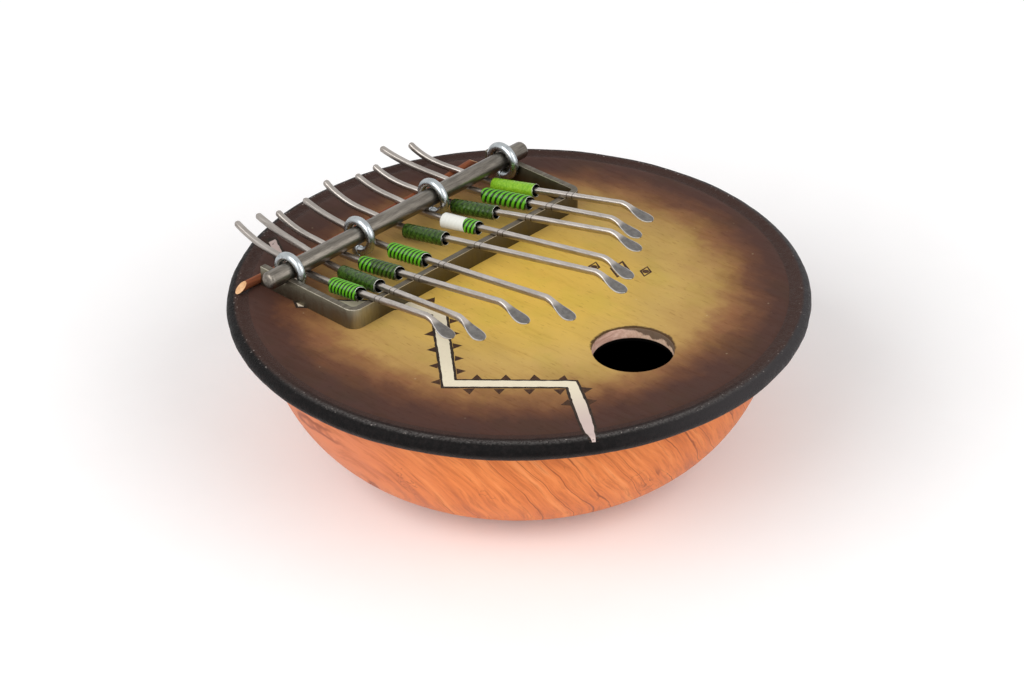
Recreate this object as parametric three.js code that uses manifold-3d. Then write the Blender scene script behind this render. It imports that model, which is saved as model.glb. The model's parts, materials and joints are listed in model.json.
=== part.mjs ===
// A bowl kalimba: nine steel tongues held down on a round soundboard over a turned wooden bowl.
// Millimetres, +Z up. The origin is under the middle of the bowl's foot, X runs along the
// pressure bar, and the playing tips of the tongues point towards -Y.
import * as THREE from 'three';
import { mergeVertices } from 'three/addons/utils/BufferGeometryUtils.js';
import Module from 'manifold-3d';

const wasm = await Module();
wasm.setup();

// Clearances
const SEAT_GAP = 0.3; // between a piece and what it rests on
const GLUE_LINE = 0.2; // between the bowl's mouth and the board
const BOLT_CLEARANCE = 0.3; // round a shank, in the board and in a washer
const THREAD_CLEARANCE = 0.15; // round a shank, in its nut
const BRIDGE_GAP = 0.5; // under a tongue's axis line, above the middle of the bridge
const BAR_CLEARANCE = 0.85; // above a tongue, so that it can tilt under the bar
const STICK_CLEARANCE = 0.6; // under a tongue, so that it can tilt over the rear stick

// Bowl
const BOWL_HEIGHT = 61.6;
const BOWL_WALL = 5;
const BOWL_FLOOR = 8;
const FOOT_RADIUS = 42;
const NUT_TO_WALL = 2.9; // room between the outermost nut and the inside of the bowl

// Soundboard
const BOARD_THICKNESS = 5.5;
const BOARD_OVERHANG = 12.5; // how far the board stands out past the bowl
const EDGE_RADIUS = 3.6; // rounded bead round the board's edge
const EDGE_PROUD = 0.2; // the bead's crest above the board's face
const HOLE_RADIUS = 15;
const HOLE_X = -5.3;
const HOLE_Y = -62;

// Eye bolts, with the place of each along the bar
const EYE_ACROSS = [-60.3, -23.9, 16.2, 55.6];
const EYE_WIRE = 3.5;
const EYE_BORE = 8.9;
const SHANK_TAIL = 1.5; // shank left showing below its nut
const WASHER_RADIUS = 4;
const WASHER_THICKNESS = 1;
const NUT_FLATS = 7;
const NUT_HEIGHT = 3.2;

// Pressure bar
const BAR_RADIUS = 3.5;
const BAR_PLACE = 60.7; // from the middle of the board back to the bar
const BAR_OVERHANG = 7.3; // past the outside of each arm of the bridge frame
const BAR_DOME = 1.4; // how much the rounded ends bulge

// Bridge frame, a strip bent to a U and set on edge
const STRIP_HEIGHT = 8;
const STRIP_THICKNESS = 2.6;
const BRIDGE_TO_BAR = 37.2; // from the middle of the bridge back to the bar
const CORNER_RADIUS = 4.5;
const SADDLE_DEPTH = 2.65; // how deep the bar sits in the arms
const EYE_TO_ARM = 0.3;
const ARM_TO_STICK = 1.85;

// Rear stick
const STICK_RADIUS = 1.65;
const STICK_TO_BAR = 15.2; // from its middle forward to the bar
const STICK_TURN = 1.3; // to the bar, in degrees
const STICK_OVERHANG = 11; // past the outside of the left arm
const STICK_SHORT = 1.2; // of the outside of the right arm
const STICK_BEVEL = 5; // how far the whittled ends lean back

// Tongues, from left to right, with the place where each crosses the bar
const TONGUE_WIRE = 2.4;
const TONGUE_ACROSS = [-51.8, -41.9, -33.2, -18.6, -3.6, 10.4, 22.3, 35.6, 44.8];
const TONGUE_LEAN = [-3.3, -6.2, -0.3, -2.4, 3.6, 1.8, 7, 4.7, 8.1]; // turn to the side, in degrees
const TONGUE_REACH = [44.2, 55.4, 60, 72.9, 74.4, 68.5, 55.5, 47.3, 41.8]; // from the bridge to the tip
const TAIL_LENGTH = [27.2, 28.6, 21.1, 22.8, 21.9, 19.7, 18.5, 28.3, 19.5]; // back from the stick
const TAIL_RISE = [3.6, 1.2, 3.4, 1.5, 5.2, 2.3, 3.3, 2.2, 4]; // up from the stick
const TAIL_CURL = 2.6; // 1 is a straight tail, more bends up towards its end
const SAG_SHARE = 0.25; // of the rise from the bar to the stick, reached half way
const FRONT_SHARE = 0.9; // of the slope behind the bridge, kept in front of it
const PADDLE_LENGTH = 12.2;
const PADDLE_WIDTH = 5.5;
const PADDLE_THICKNESS = 1;
const PADDLE_DROP = 3.8;

// The hammered paddle from neck to tip: part of its length, how far it has spread to its full width
// and how far it has thinned to its full flatness.
const PADDLE_SHAPE = [
  { part: 0, spread: 0, flat: 0 },
  { part: 0.2, spread: 0.35, flat: 0.45 },
  { part: 0.45, spread: 0.8, flat: 0.85 },
  { part: 0.7, spread: 1, flat: 1 },
  { part: 0.9, spread: 0.85, flat: 1 },
  { part: 1, spread: 0.2, flat: 1 },
];

// Sleeves, one on each tongue
const SLEEVE_INNER_RADIUS = 2.2;
const SHEET_THICKNESS = 0.25;
const SHEET_GAP = 0.25; // between the layers of the roll
const SLEEVE_TURNS = 1.25;
const SLEEVE_TO_BRIDGE = [5, 3.1, 4.6, 3.9, 11, 6.3, 10.4, 4.6, 11];
const SLEEVE_TO_BAR = [11.8, 6.8, 7.8, 9.2, 1.2, 8.4, 1.2, 5.2, 1.2];
const SLEEVE_FLARE = [0, 0, 0, 0, 0, 0.12, 0, 0, 0]; // how much wider the rear end is

// Facets
const BODY_SIDES = 64;
const ROD_SIDES = 16;
const HOLE_SIDES = 32;
const SHANK_SIDES = 12;
const RING_STEPS = 20;
const WIRE_SIDES = 8;
const SHEET_SIDES = 24;
const OUTSIDE_STEPS = 9;
const INSIDE_STEPS = 7;
const BEAD_STEPS = 9;
const CORNER_STEPS = 6;
const DOME_STEPS = 4;
const TAIL_STEPS = 4;

// Places that follow from the sizes. Heights on the deck are measured from the board's top face.
const eyeWireRadius = EYE_WIRE / 2;
const eyeRingRadius = (EYE_BORE + EYE_WIRE) / 2;
const tongueRadius = TONGUE_WIRE / 2;
const nutCorner = NUT_FLATS / 2 / Math.cos(Math.PI / 6);
const firstEye = EYE_ACROSS[0];
const lastEye = EYE_ACROSS[EYE_ACROSS.length - 1];
const farthestEye = Math.hypot(Math.max(-firstEye, lastEye), BAR_PLACE);
const bowlRadius = farthestEye + nutCorner + NUT_TO_WALL + BOWL_WALL;
const boardRadius = bowlRadius + BOARD_OVERHANG;
const boardBottom = BOWL_HEIGHT + GLUE_LINE;
const deckHeight = boardBottom + BOARD_THICKNESS;

const armInset = eyeWireRadius + EYE_TO_ARM;
const frameLeft = firstEye - armInset - STRIP_THICKNESS;
const frameRight = lastEye + armInset + STRIP_THICKNESS;
const frameCentre = (frameLeft + frameRight) / 2;
const frameWidth = frameRight - frameLeft;
const bridgePlace = BAR_PLACE - BRIDGE_TO_BAR;
const stickPlace = BAR_PLACE + STICK_TO_BAR;
const stickSlope = Math.tan(THREE.MathUtils.degToRad(STICK_TURN));
const stickLeft = frameLeft - STICK_OVERHANG;
const stickRight = frameRight - STICK_SHORT;
const stickCentre = (stickLeft + stickRight) / 2;
const armEnd = stickPlace - STICK_RADIUS - ARM_TO_STICK;

const stripTop = SEAT_GAP + STRIP_HEIGHT;
const barAxis = stripTop + BAR_RADIUS - SADDLE_DEPTH;
const eyeAxis = barAxis - (EYE_BORE / 2 - BAR_RADIUS - SEAT_GAP);
const stickAxis = EDGE_PROUD + SEAT_GAP + STICK_RADIUS; // its ends reach over the bead
const tongueAtBar = barAxis - BAR_RADIUS - BAR_CLEARANCE - tongueRadius;
const tongueAtBridge = stripTop + BRIDGE_GAP + tongueRadius;
const tongueAtStick = stickAxis + STICK_RADIUS + STICK_CLEARANCE + tongueRadius;

const finishes = {
  bowlWood: { color: 0xc9703a, roughness: 0.42, metalness: 0 },
  stainedBoard: { color: 0x7a5a30, roughness: 0.55, metalness: 0 },
  stripSteel: { color: 0x6e675c, roughness: 0.45, metalness: 1 },
  barSteel: { color: 0x8a8480, roughness: 0.35, metalness: 1 },
  zinc: { color: 0xc9ced2, roughness: 0.2, metalness: 1 },
  stickWood: { color: 0xb5713f, roughness: 0.6, metalness: 0 },
  tongueSteel: { color: 0x9b948c, roughness: 0.38, metalness: 1 },
  printedSheet: { color: 0x3f9a1e, roughness: 0.35, metalness: 0.3 },
};

function piece(name, geometry, finish) {
  const mesh = new THREE.Mesh(geometry, new THREE.MeshStandardMaterial(finishes[finish]));
  mesh.name = name;
  return mesh;
}

// A closed geometry as a solid that can be joined and cut.
function toSolid(geometry) {
  const bare = geometry.clone();
  bare.deleteAttribute('normal');
  bare.deleteAttribute('uv');
  const merged = mergeVertices(bare);
  const corners = merged.index.array;
  const triangles = [];
  for (let i = 0; i < corners.length; i += 3) {
    const [a, b, c] = corners.slice(i, i + 3);
    if (a !== b && b !== c && c !== a) triangles.push(a, b, c);
  }
  const vertProperties = new Float32Array(merged.attributes.position.array);
  const triVerts = new Uint32Array(triangles);
  return new wasm.Manifold(new wasm.Mesh({ numProp: 3, vertProperties, triVerts }));
}

function toGeometry(solid) {
  const mesh = solid.getMesh();
  const geometry = new THREE.BufferGeometry();
  geometry.setAttribute('position', new THREE.BufferAttribute(mesh.vertProperties, 3));
  geometry.setIndex(new THREE.BufferAttribute(mesh.triVerts, 1));
  geometry.computeVertexNormals();
  return geometry;
}

// A profile of radius and height turned about Z.
function turned(profile, sides) {
  return new THREE.LatheGeometry(profile, sides).rotateX(Math.PI / 2);
}

// An upright cylinder between two heights.
function upright(radius, bottom, top, sides) {
  const geometry = new THREE.CylinderGeometry(radius, radius, top - bottom, sides);
  return geometry.rotateX(Math.PI / 2).translate(0, 0, (bottom + top) / 2);
}

// A quarter of an ellipse about the mouth of the bowl, from the wall down to the floor.
function bowlCurve(wall, floor, steps) {
  const width = bowlRadius - FOOT_RADIUS - wall;
  const depth = BOWL_HEIGHT - floor;
  return new THREE.EllipseCurve(FOOT_RADIUS, BOWL_HEIGHT, width, depth, -Math.PI / 2, 0).getPoints(steps);
}

function makeBowl() {
  const outside = bowlCurve(0, 0, OUTSIDE_STEPS);
  const inside = bowlCurve(BOWL_WALL, BOWL_FLOOR, INSIDE_STEPS).reverse();
  const profile = [new THREE.Vector2(0, 0), ...outside, ...inside, new THREE.Vector2(0, BOWL_FLOOR)];
  return piece('bowl', turned(profile, BODY_SIDES), 'bowlWood');
}

function makeSoundboard() {
  const beadPlace = boardRadius - EDGE_RADIUS;
  const beadHeight = BOARD_THICKNESS + EDGE_PROUD - EDGE_RADIUS;
  const meetFace = (height) => {
    const rise = height - beadHeight;
    return Math.atan2(rise, -Math.sqrt(EDGE_RADIUS ** 2 - rise ** 2));
  };
  const bead = new THREE.EllipseCurve(
    beadPlace, beadHeight, EDGE_RADIUS, EDGE_RADIUS, meetFace(0), meetFace(BOARD_THICKNESS),
  );
  const rounded = bead.getPoints(BEAD_STEPS);
  const profile = [new THREE.Vector2(0, 0), ...rounded, new THREE.Vector2(0, BOARD_THICKNESS)];
  let board = toSolid(turned(profile, BODY_SIDES));
  const hole = upright(HOLE_RADIUS, -EDGE_RADIUS, BOARD_THICKNESS + EDGE_RADIUS, HOLE_SIDES);
  board = board.subtract(toSolid(hole.translate(HOLE_X, HOLE_Y, 0)));
  const boltRadius = eyeWireRadius + BOLT_CLEARANCE;
  for (const across of EYE_ACROSS) {
    const bore = upright(boltRadius, -EDGE_RADIUS, BOARD_THICKNESS + EDGE_RADIUS, SHANK_SIDES);
    board = board.subtract(toSolid(bore.translate(across, BAR_PLACE, 0)));
  }
  const mesh = piece('soundboard', toGeometry(board), 'stainedBoard');
  mesh.position.z = boardBottom;
  return mesh;
}

// One side of the U: out along the left arm, across the bridge and back along the right arm.
function frameLine(path, inset, radius) {
  const left = frameLeft + inset;
  const right = frameRight - inset;
  const front = bridgePlace - STRIP_THICKNESS / 2 + inset;
  path.lineTo(left, front + radius);
  path.absarc(left + radius, front + radius, radius, Math.PI, Math.PI * 1.5, false);
  path.absarc(right - radius, front + radius, radius, Math.PI * 1.5, Math.PI * 2, false);
  path.lineTo(right, armEnd);
}

function makeBridgeFrame() {
  const outside = new THREE.Path().moveTo(frameLeft, armEnd);
  frameLine(outside, 0, CORNER_RADIUS);
  const inside = new THREE.Path().moveTo(frameLeft + STRIP_THICKNESS, armEnd);
  frameLine(inside, STRIP_THICKNESS, CORNER_RADIUS - STRIP_THICKNESS);
  const outline = new THREE.Shape([
    ...outside.getPoints(CORNER_STEPS), ...inside.getPoints(CORNER_STEPS).reverse(),
  ]);
  const strip = new THREE.ExtrudeGeometry(outline, { depth: STRIP_HEIGHT, bevelEnabled: false });
  const bar = new THREE.CylinderGeometry(
    BAR_RADIUS + SEAT_GAP, BAR_RADIUS + SEAT_GAP, frameWidth + 2 * BAR_OVERHANG, ROD_SIDES,
  );
  bar.rotateZ(Math.PI / 2).translate(frameCentre, BAR_PLACE, barAxis - SEAT_GAP);
  const mesh = piece('bridge_frame', toGeometry(toSolid(strip).subtract(toSolid(bar))), 'stripSteel');
  mesh.position.z = SEAT_GAP;
  return mesh;
}

function makeRearStick() {
  const length = stickRight - stickLeft;
  const geometry = new THREE.CylinderGeometry(STICK_RADIUS, STICK_RADIUS, length, ROD_SIDES);
  geometry.rotateZ(Math.PI / 2);
  const points = geometry.attributes.position;
  for (let i = 0; i < points.count; i += 1) {
    const end = Math.sign(points.getX(i));
    points.setX(i, points.getX(i) - end * STICK_BEVEL * (1 + points.getZ(i) / STICK_RADIUS) / 2);
  }
  const mesh = piece('rear_bridge_stick', geometry, 'stickWood');
  mesh.rotation.z = THREE.MathUtils.degToRad(STICK_TURN);
  mesh.position.set(stickCentre, stickPlace, stickAxis);
  return mesh;
}

function makePressureBar() {
  const half = frameWidth / 2 + BAR_OVERHANG;
  const dome = (end, from, to) => (
    new THREE.EllipseCurve(0, end * (half - BAR_DOME), BAR_RADIUS, BAR_DOME, from, to).getPoints(DOME_STEPS)
  );
  const profile = [...dome(-1, -Math.PI / 2, 0), ...dome(1, 0, Math.PI / 2)];
  profile[0].x = 0;
  profile[profile.length - 1].x = 0;
  const mesh = piece('pressure_bar', turned(profile, ROD_SIDES).rotateY(Math.PI / 2), 'barSteel');
  mesh.position.set(frameCentre, BAR_PLACE, barAxis);
  return mesh;
}

// An eye bolt with its washer and nut under the board, as one group on the deck.
function makeEye(number, across) {
  const group = new THREE.Group();
  group.position.set(across, BAR_PLACE, 0);
  const washerTop = -BOARD_THICKNESS - SEAT_GAP;
  const nutTop = washerTop - WASHER_THICKNESS - SEAT_GAP;
  const nutBottom = nutTop - NUT_HEIGHT;

  const ring = new THREE.TorusGeometry(eyeRingRadius, eyeWireRadius, WIRE_SIDES, RING_STEPS);
  ring.rotateY(Math.PI / 2).translate(0, 0, eyeAxis);
  const shank = upright(eyeWireRadius, nutBottom - SHANK_TAIL, eyeAxis - eyeRingRadius, SHANK_SIDES);
  group.add(piece(`eye_bolt_${number}`, toGeometry(toSolid(ring).add(toSolid(shank))), 'zinc'));

  const washer = new THREE.Shape().absarc(0, 0, WASHER_RADIUS, 0, Math.PI * 2, false);
  washer.holes.push(new THREE.Path().absarc(0, 0, eyeWireRadius + BOLT_CLEARANCE, 0, Math.PI * 2, true));
  const disc = new THREE.ExtrudeGeometry(
    washer, { depth: WASHER_THICKNESS, bevelEnabled: false, curveSegments: ROD_SIDES },
  );
  disc.translate(0, 0, washerTop - WASHER_THICKNESS);
  group.add(piece(`washer_${number}`, disc, 'zinc'));

  const corners = [];
  for (let i = 0; i < 6; i += 1) {
    corners.push(new THREE.Vector2(nutCorner, 0).rotateAround(new THREE.Vector2(), i * Math.PI / 3));
  }
  const hexagon = new THREE.Shape(corners);
  hexagon.holes.push(new THREE.Path().absarc(0, 0, eyeWireRadius + THREAD_CLEARANCE, 0, Math.PI * 2, true));
  const nut = new THREE.ExtrudeGeometry(
    hexagon, { depth: NUT_HEIGHT, bevelEnabled: false, curveSegments: SHANK_SIDES },
  );
  nut.translate(0, 0, nutBottom);
  group.add(piece(`nut_${number}`, nut, 'zinc'));
  return group;
}

// A polygon swept through stations, each with its place along the tongue, height, width and depth.
function sweep(stations, sides) {
  const corners = [];
  for (let i = 0; i < sides; i += 1) {
    const angle = (i + 0.5) * 2 * Math.PI / sides;
    corners.push(new THREE.Vector2(Math.cos(angle), Math.sin(angle)));
  }
  const steps = stations.length - 1;
  const geometry = new THREE.ExtrudeGeometry(
    new THREE.Shape(corners), { depth: steps, steps, bevelEnabled: false },
  );
  const points = geometry.attributes.position;
  for (let i = 0; i < points.count; i += 1) {
    const index = Math.round(points.getZ(i));
    const here = stations[index];
    const before = stations[Math.max(index - 1, 0)];
    const after = stations[Math.min(index + 1, steps)];
    const slope = Math.atan2(after.height - before.height, before.y - after.y);
    const offset = points.getY(i) * here.depth / 2;
    points.setXYZ(
      i,
      points.getX(i) * here.width / 2,
      here.y + offset * Math.sin(slope),
      here.height + offset * Math.cos(slope),
    );
  }
  return geometry;
}

// The run of a tongue, along its own line from the bridge: back to the bar, the stick and the tail,
// and forward to the neck and the paddle.
function tongueRun(i) {
  const lean = THREE.MathUtils.degToRad(TONGUE_LEAN[i]);
  const bar = BRIDGE_TO_BAR / Math.cos(lean);
  const toStick = STICK_TO_BAR + (TONGUE_ACROSS[i] - stickCentre) * stickSlope;
  const stick = bar + toStick / (Math.cos(lean) + Math.sin(lean) * stickSlope);
  const slope = (tongueAtBridge - tongueAtBar) / bar;
  const neck = TONGUE_REACH[i] - PADDLE_LENGTH;
  return { bar, stick, slope, neck, neckHeight: tongueAtBridge + FRONT_SHARE * slope * neck };
}

function tongueStations(i) {
  const run = tongueRun(i);
  const wire = { width: TONGUE_WIRE, depth: TONGUE_WIRE };
  const stations = [];
  for (let step = TAIL_STEPS; step >= 0; step -= 1) {
    const part = step / TAIL_STEPS;
    const height = tongueAtStick + TAIL_RISE[i] * part ** TAIL_CURL;
    stations.push({ y: run.stick + TAIL_LENGTH[i] * part, height, ...wire });
  }
  const sag = THREE.MathUtils.lerp(tongueAtBar, tongueAtStick, SAG_SHARE);
  stations.push({ y: (run.stick + run.bar) / 2, height: sag, ...wire });
  stations.push({ y: run.bar, height: tongueAtBar, ...wire });
  stations.push({ y: 0, height: tongueAtBridge, ...wire });
  for (const { part, spread, flat } of PADDLE_SHAPE) {
    stations.push({
      y: -run.neck - PADDLE_LENGTH * part,
      height: run.neckHeight - PADDLE_DROP * Math.sin(part * Math.PI / 2),
      width: THREE.MathUtils.lerp(TONGUE_WIRE, PADDLE_WIDTH, spread),
      depth: THREE.MathUtils.lerp(TONGUE_WIRE, PADDLE_THICKNESS, flat),
    });
  }
  return stations;
}

// A strip of sheet rolled a little more than once round, along +Z, wider at its start by the flare.
function rolledSheet(length, flare) {
  const steps = Math.round(SHEET_SIDES * SLEEVE_TURNS);
  const pitch = SHEET_THICKNESS + SHEET_GAP;
  const spiral = (radius) => {
    const points = [];
    for (let i = 0; i <= steps; i += 1) {
      const turn = i / SHEET_SIDES;
      const angle = turn * 2 * Math.PI;
      const reach = radius + pitch * turn;
      points.push(new THREE.Vector2(reach * Math.cos(angle), reach * Math.sin(angle)));
    }
    return points;
  };
  const outer = spiral(SLEEVE_INNER_RADIUS + SHEET_THICKNESS);
  const outline = [...outer, ...spiral(SLEEVE_INNER_RADIUS).reverse()];
  const geometry = new THREE.ExtrudeGeometry(
    new THREE.Shape(outline), { depth: length, bevelEnabled: false },
  );
  const points = geometry.attributes.position;
  for (let i = 0; i < points.count; i += 1) {
    const widen = 1 + flare * (1 - points.getZ(i) / length);
    points.setXY(i, points.getX(i) * widen, points.getY(i) * widen);
  }
  return geometry;
}

// A tongue and the sleeve that hangs on it, in a group turned to the tongue's line at the bridge.
function makeTongue(i) {
  const number = i + 1;
  const run = tongueRun(i);
  const lean = THREE.MathUtils.degToRad(TONGUE_LEAN[i]);
  const group = new THREE.Group();
  group.position.set(TONGUE_ACROSS[i] + run.bar * Math.sin(lean), bridgePlace, 0);
  group.rotation.z = lean;
  group.add(piece(`tongue_${number}`, sweep(tongueStations(i), WIRE_SIDES), 'tongueSteel'));

  const front = STRIP_THICKNESS / 2 + SLEEVE_TO_BRIDGE[i];
  const rear = BRIDGE_TO_BAR - BAR_RADIUS - SLEEVE_TO_BAR[i];
  const hang = SLEEVE_INNER_RADIUS - SEAT_GAP - tongueRadius;
  const roll = piece(`sleeve_${number}`, rolledSheet(rear - front, SLEEVE_FLARE[i]), 'printedSheet');
  const tilt = Math.atan(run.slope);
  roll.rotation.x = Math.PI / 2 - tilt;
  roll.position.set(0, rear, tongueAtBridge - run.slope * rear - hang / Math.cos(tilt));
  group.add(roll);
  return group;
}

const kalimba = new THREE.Group();
kalimba.add(makeBowl(), makeSoundboard());

const deck = new THREE.Group();
deck.position.z = deckHeight;
deck.add(makeBridgeFrame(), makeRearStick(), makePressureBar());
EYE_ACROSS.forEach((across, i) => deck.add(makeEye(i + 1, across)));
TONGUE_ACROSS.forEach((across, i) => deck.add(makeTongue(i)));
kalimba.add(deck);

export default kalimba;
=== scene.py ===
"""The looks of a bowl kalimba: a turned bowl, a stained board, steel tongues and rolled sleeves.

Metres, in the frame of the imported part: +Z up, X along the pressure bar, playing tips towards -Y.
"""

import json
import math

import bmesh
import bpy
from mathutils import Matrix, Quaternion, Vector, noise


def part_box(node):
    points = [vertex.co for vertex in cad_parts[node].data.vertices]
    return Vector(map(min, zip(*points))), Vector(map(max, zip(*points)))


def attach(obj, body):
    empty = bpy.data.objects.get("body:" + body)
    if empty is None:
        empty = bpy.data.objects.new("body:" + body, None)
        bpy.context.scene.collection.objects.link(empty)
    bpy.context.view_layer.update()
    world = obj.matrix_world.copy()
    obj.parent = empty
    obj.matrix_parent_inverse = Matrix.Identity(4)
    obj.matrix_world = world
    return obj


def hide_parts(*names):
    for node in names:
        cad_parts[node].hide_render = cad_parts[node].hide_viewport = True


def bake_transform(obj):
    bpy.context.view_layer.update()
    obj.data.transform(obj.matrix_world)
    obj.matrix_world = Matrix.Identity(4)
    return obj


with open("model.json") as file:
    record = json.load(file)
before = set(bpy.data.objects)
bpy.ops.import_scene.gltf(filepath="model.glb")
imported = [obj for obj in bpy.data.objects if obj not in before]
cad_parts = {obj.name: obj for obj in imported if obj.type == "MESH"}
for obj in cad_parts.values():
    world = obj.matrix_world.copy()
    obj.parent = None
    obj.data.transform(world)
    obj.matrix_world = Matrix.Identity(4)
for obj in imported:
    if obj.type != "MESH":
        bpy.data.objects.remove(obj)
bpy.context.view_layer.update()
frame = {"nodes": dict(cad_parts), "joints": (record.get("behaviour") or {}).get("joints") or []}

MM = 0.001
ROOT = "resonator"

# Camera: the picture's angle, and where the board's middle lies from the middle of the picture
VIEW_AZIMUTH = math.radians(-46.5)
VIEW_ELEVATION = math.radians(31.06)
VIEW_ROLL = math.radians(-0.84)
VIEW_DISTANCE = 1207.4 * MM
VIEW_LENS = 112.5
SENSOR_WIDTH = 36
AIM_RIGHT = -2.85 * MM
AIM_UP = -18.23 * MM
AIM_HEIGHT = 63.9 * MM

# Turn of the picture's axes, and the unit of a place in plan, in which heights all but vanish
PICTURE_TURN = (0, 0, VIEW_AZIMUTH)
PLAN = (MM, MM, 1000.0)

# Meshes: distance at which doubles are merged, and the angle from which an edge looks sharp
MERGE_DISTANCE = 0.001 * MM
SHARP_ANGLE = math.radians(40)

# Bowl, with the way across the layers of its wood and how far up a face looks, for its inside painted
# dark as shade
LAYERS = Vector((0.79, -0.12, 0.6))
FLOOR_FACING = 0.5
WALL_FACING = -0.01
BOWL_WALL = 5 * MM
BOWL_FLOOR = 8 * MM
FOOT_RADIUS = 42 * MM
LIP_ROUND = 0.8 * MM
BOWL_SIDES = 160
BOWL_STEPS = 40

# Soundboard, with the middle and the reach of its stain
BOARD_THICKNESS = 5.5 * MM
STAIN_MIDDLE = (1.5 * MM, -1 * MM)
STAIN_REACH = (107.5 * MM, 105.5 * MM)

# Bead round the board: waves per metre and their shares make it uneven
EDGE_RADIUS = 3.6 * MM
EDGE_PROUD = 0.2 * MM
BEAD_START = math.radians(118)
BEAD_END = math.radians(-128)
BEAD_STEPS = 18
GROOVE_WIDTH = 2.4 * MM
GROOVE_DEPTH = 0.45 * MM
GROOVE_STEP = 0.3 * MM
FLAT_MARGIN = 0.8 * MM
EDGE_WOBBLE = 0.28 * MM
EDGE_WAVES = ((60, 1.0), (260, 0.5))
BLACK_REACH = 0.6 * MM
BOARD_SIDES = 240

# Sound hole: a dark band at its top reaches deeper on its right than on its left, and its foot is in
# shade
HOLE_RADIUS = 15 * MM
HOLE_CENTRE = Vector((-5.3 * MM, -62 * MM, 0))
HOLE_ROUND = 0.5 * MM
LIP_STEPS = 4
DARK_TOP_DEPTH = (1.6 * MM, 6.4 * MM)
DARK_TOP_EDGE = (0.1 * MM, 0.9 * MM)
SHADE_EDGE = (1.1 * MM, 1.5 * MM)
DEEP_SHADE = (0.0012, 0.001, 0.001)

# Painted zigzag on the board: places in plan with the width of the stripe there, in millimetres
ZIGZAG = [
    (-38, 96, 2.6),
    (-63.5, 51, 4.6),
    (-36.5, 18.5, 4.6),
    (-34.3, 8.5, 4.7),
    (-66.8, -28.2, 4.1),
    (-37.5, -61.2, 3.7),
    (-46, -73, 4.5),
    (-54.5, -84.5, 3.9),
    (-59.2, -91.3, 1.3),
]
ZIGZAG_STEP = 1.5 * MM
ZIGZAG_JITTER = 0.3 * MM
ZIGZAG_WAVES = 500
CORNER_CLEAR = 1.3
OUTLINE_WIDTH = 1 * MM
PAINT_RISE = 0.11 * MM
OUTLINE_RISE = 0.06 * MM
TOOTH_RISE = 0.03 * MM
MARK_DEPTH = 0.3 * MM

# Burnt teeth beside the zigzag: leg, side, first place, step and distance in millimetres, and how many
TEETH = [
    (2, 1, 3, 8, 6.4, 1),
    (3, -1, 14.5, 11, 4.2, 4),
    (3, 1, 6.4, 8.7, 4.5, 5),
    (4, 1, 9.9, 10.4, 3.9, 4),
    (4, -1, 7.4, 10.8, 4.6, 4),
    (5, 1, 4.5, 8, 4.2, 2),
    (5, -1, 12, 8, 4.2, 1),
]
TOOTH_SIZE = 2.3 * MM
TOOTH_WAVES = 900
TOOTH_SIZE_SPREAD = 0.25
TOOTH_TURN_SPREAD = 0.35

# Burnt ornament under the longest tongues: place and size of each lozenge, in sizes of the middle one
ORNAMENT_CENTRE = Vector((34.5 * MM, -20.3 * MM, 0))
ORNAMENT_SIZE = 6.4 * MM
ORNAMENT_LEAN = math.radians(-58)
LOZENGES = ((-1.55, 0.62), (0, 1), (1.55, 0.62))
LOZENGE_SLIMNESS = 0.62
LOZENGE_LINE = 0.24
DOT_SIZE = 0.2
DOT_SIDES = 12

# Bridge frame: how far up its top and its bevels look, and where its arm darkens and where painted shade
# darkens its bridge
STRIP_THICKNESS = 2.6 * MM
CORNER_RADIUS = 4.5 * MM
STRIP_BEVEL = 0.28 * MM
STRIP_BEVEL_STEPS = 2
STRIP_SHARP = math.radians(50)
TOP_FACING = 0.9
BEVEL_FACING = 0.3
ARM_EDGE = (0.4 * MM, 1.6 * MM)
BRIDGE_SHADE_EDGE = (4 * MM, 16 * MM)
SADDLE_GAP = 0.06 * MM
SADDLE_STEPS = 12
BEND_STEPS = 12
SEAT_GAP = 0.3 * MM

# Pressure bar
BAR_SIDES = 64
BAR_ROUND = 1.7 * MM
BAR_ROUND_STEPS = 6

# Rear stick, lumpy and a little bent, with waves per metre for both
STICK_SIDES = 20
STICK_STEPS = 40
STICK_BEVEL = 5 * MM
STICK_TURN = math.radians(1.3)
STICK_BOW = 2.2 * MM
STICK_LUMPS = 0.05
STICK_LUMP_WAVES = 60
STICK_WANDER = 0.2 * MM
STICK_WANDER_WAVES = 20

# Eye bolts
EYE_COUNT = 4
EYE_WIRE = 3.5 * MM
EYE_SIDES = 20
EYE_NECK = 2.2 * EYE_WIRE
EYE_OPENING = math.radians(24)
RING_STEPS = 48

# Tongues: their wire, their paddles and their tails, with the shares of the section left at the ends
TONGUE_COUNT = 9
TONGUE_WIRE = 2.4 * MM
TONGUE_SQUARENESS = 3.2
TONGUE_SIDES = 24
PADDLE_LENGTH = 12.2 * MM
PADDLE_WIDTH = 5.7 * MM
PADDLE_THICKNESS = 0.95 * MM
PADDLE_DROP = 5.5 * MM
PADDLE_BEND = 2 * MM
PADDLE_STEPS = 26
PADDLE_CROWDING = 1.7
PADDLE_SWING = 1.3
PADDLE_WIDEST = 0.72
PADDLE_FLAT = 0.5
PADDLE_DISH = 0.35 * MM
TIP_WIDTH = 0.0707
TIP_DEPTH = 0.5
END_ROUND = 0.6 * MM
END_LEFT = 0.72
END_RISE = 0.2
SPAN_STEPS = (6, 12, 8)
TAIL_CURL = 2.6
TAIL_STEPS = 10
BAR_SLOPE = 0.03
TICKS = (2.6 * MM, 5.2 * MM)
TICK_EDGE = (0.12 * MM, 0.3 * MM)
TAIL_SHADE = (-58 * MM, -42 * MM)

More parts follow.
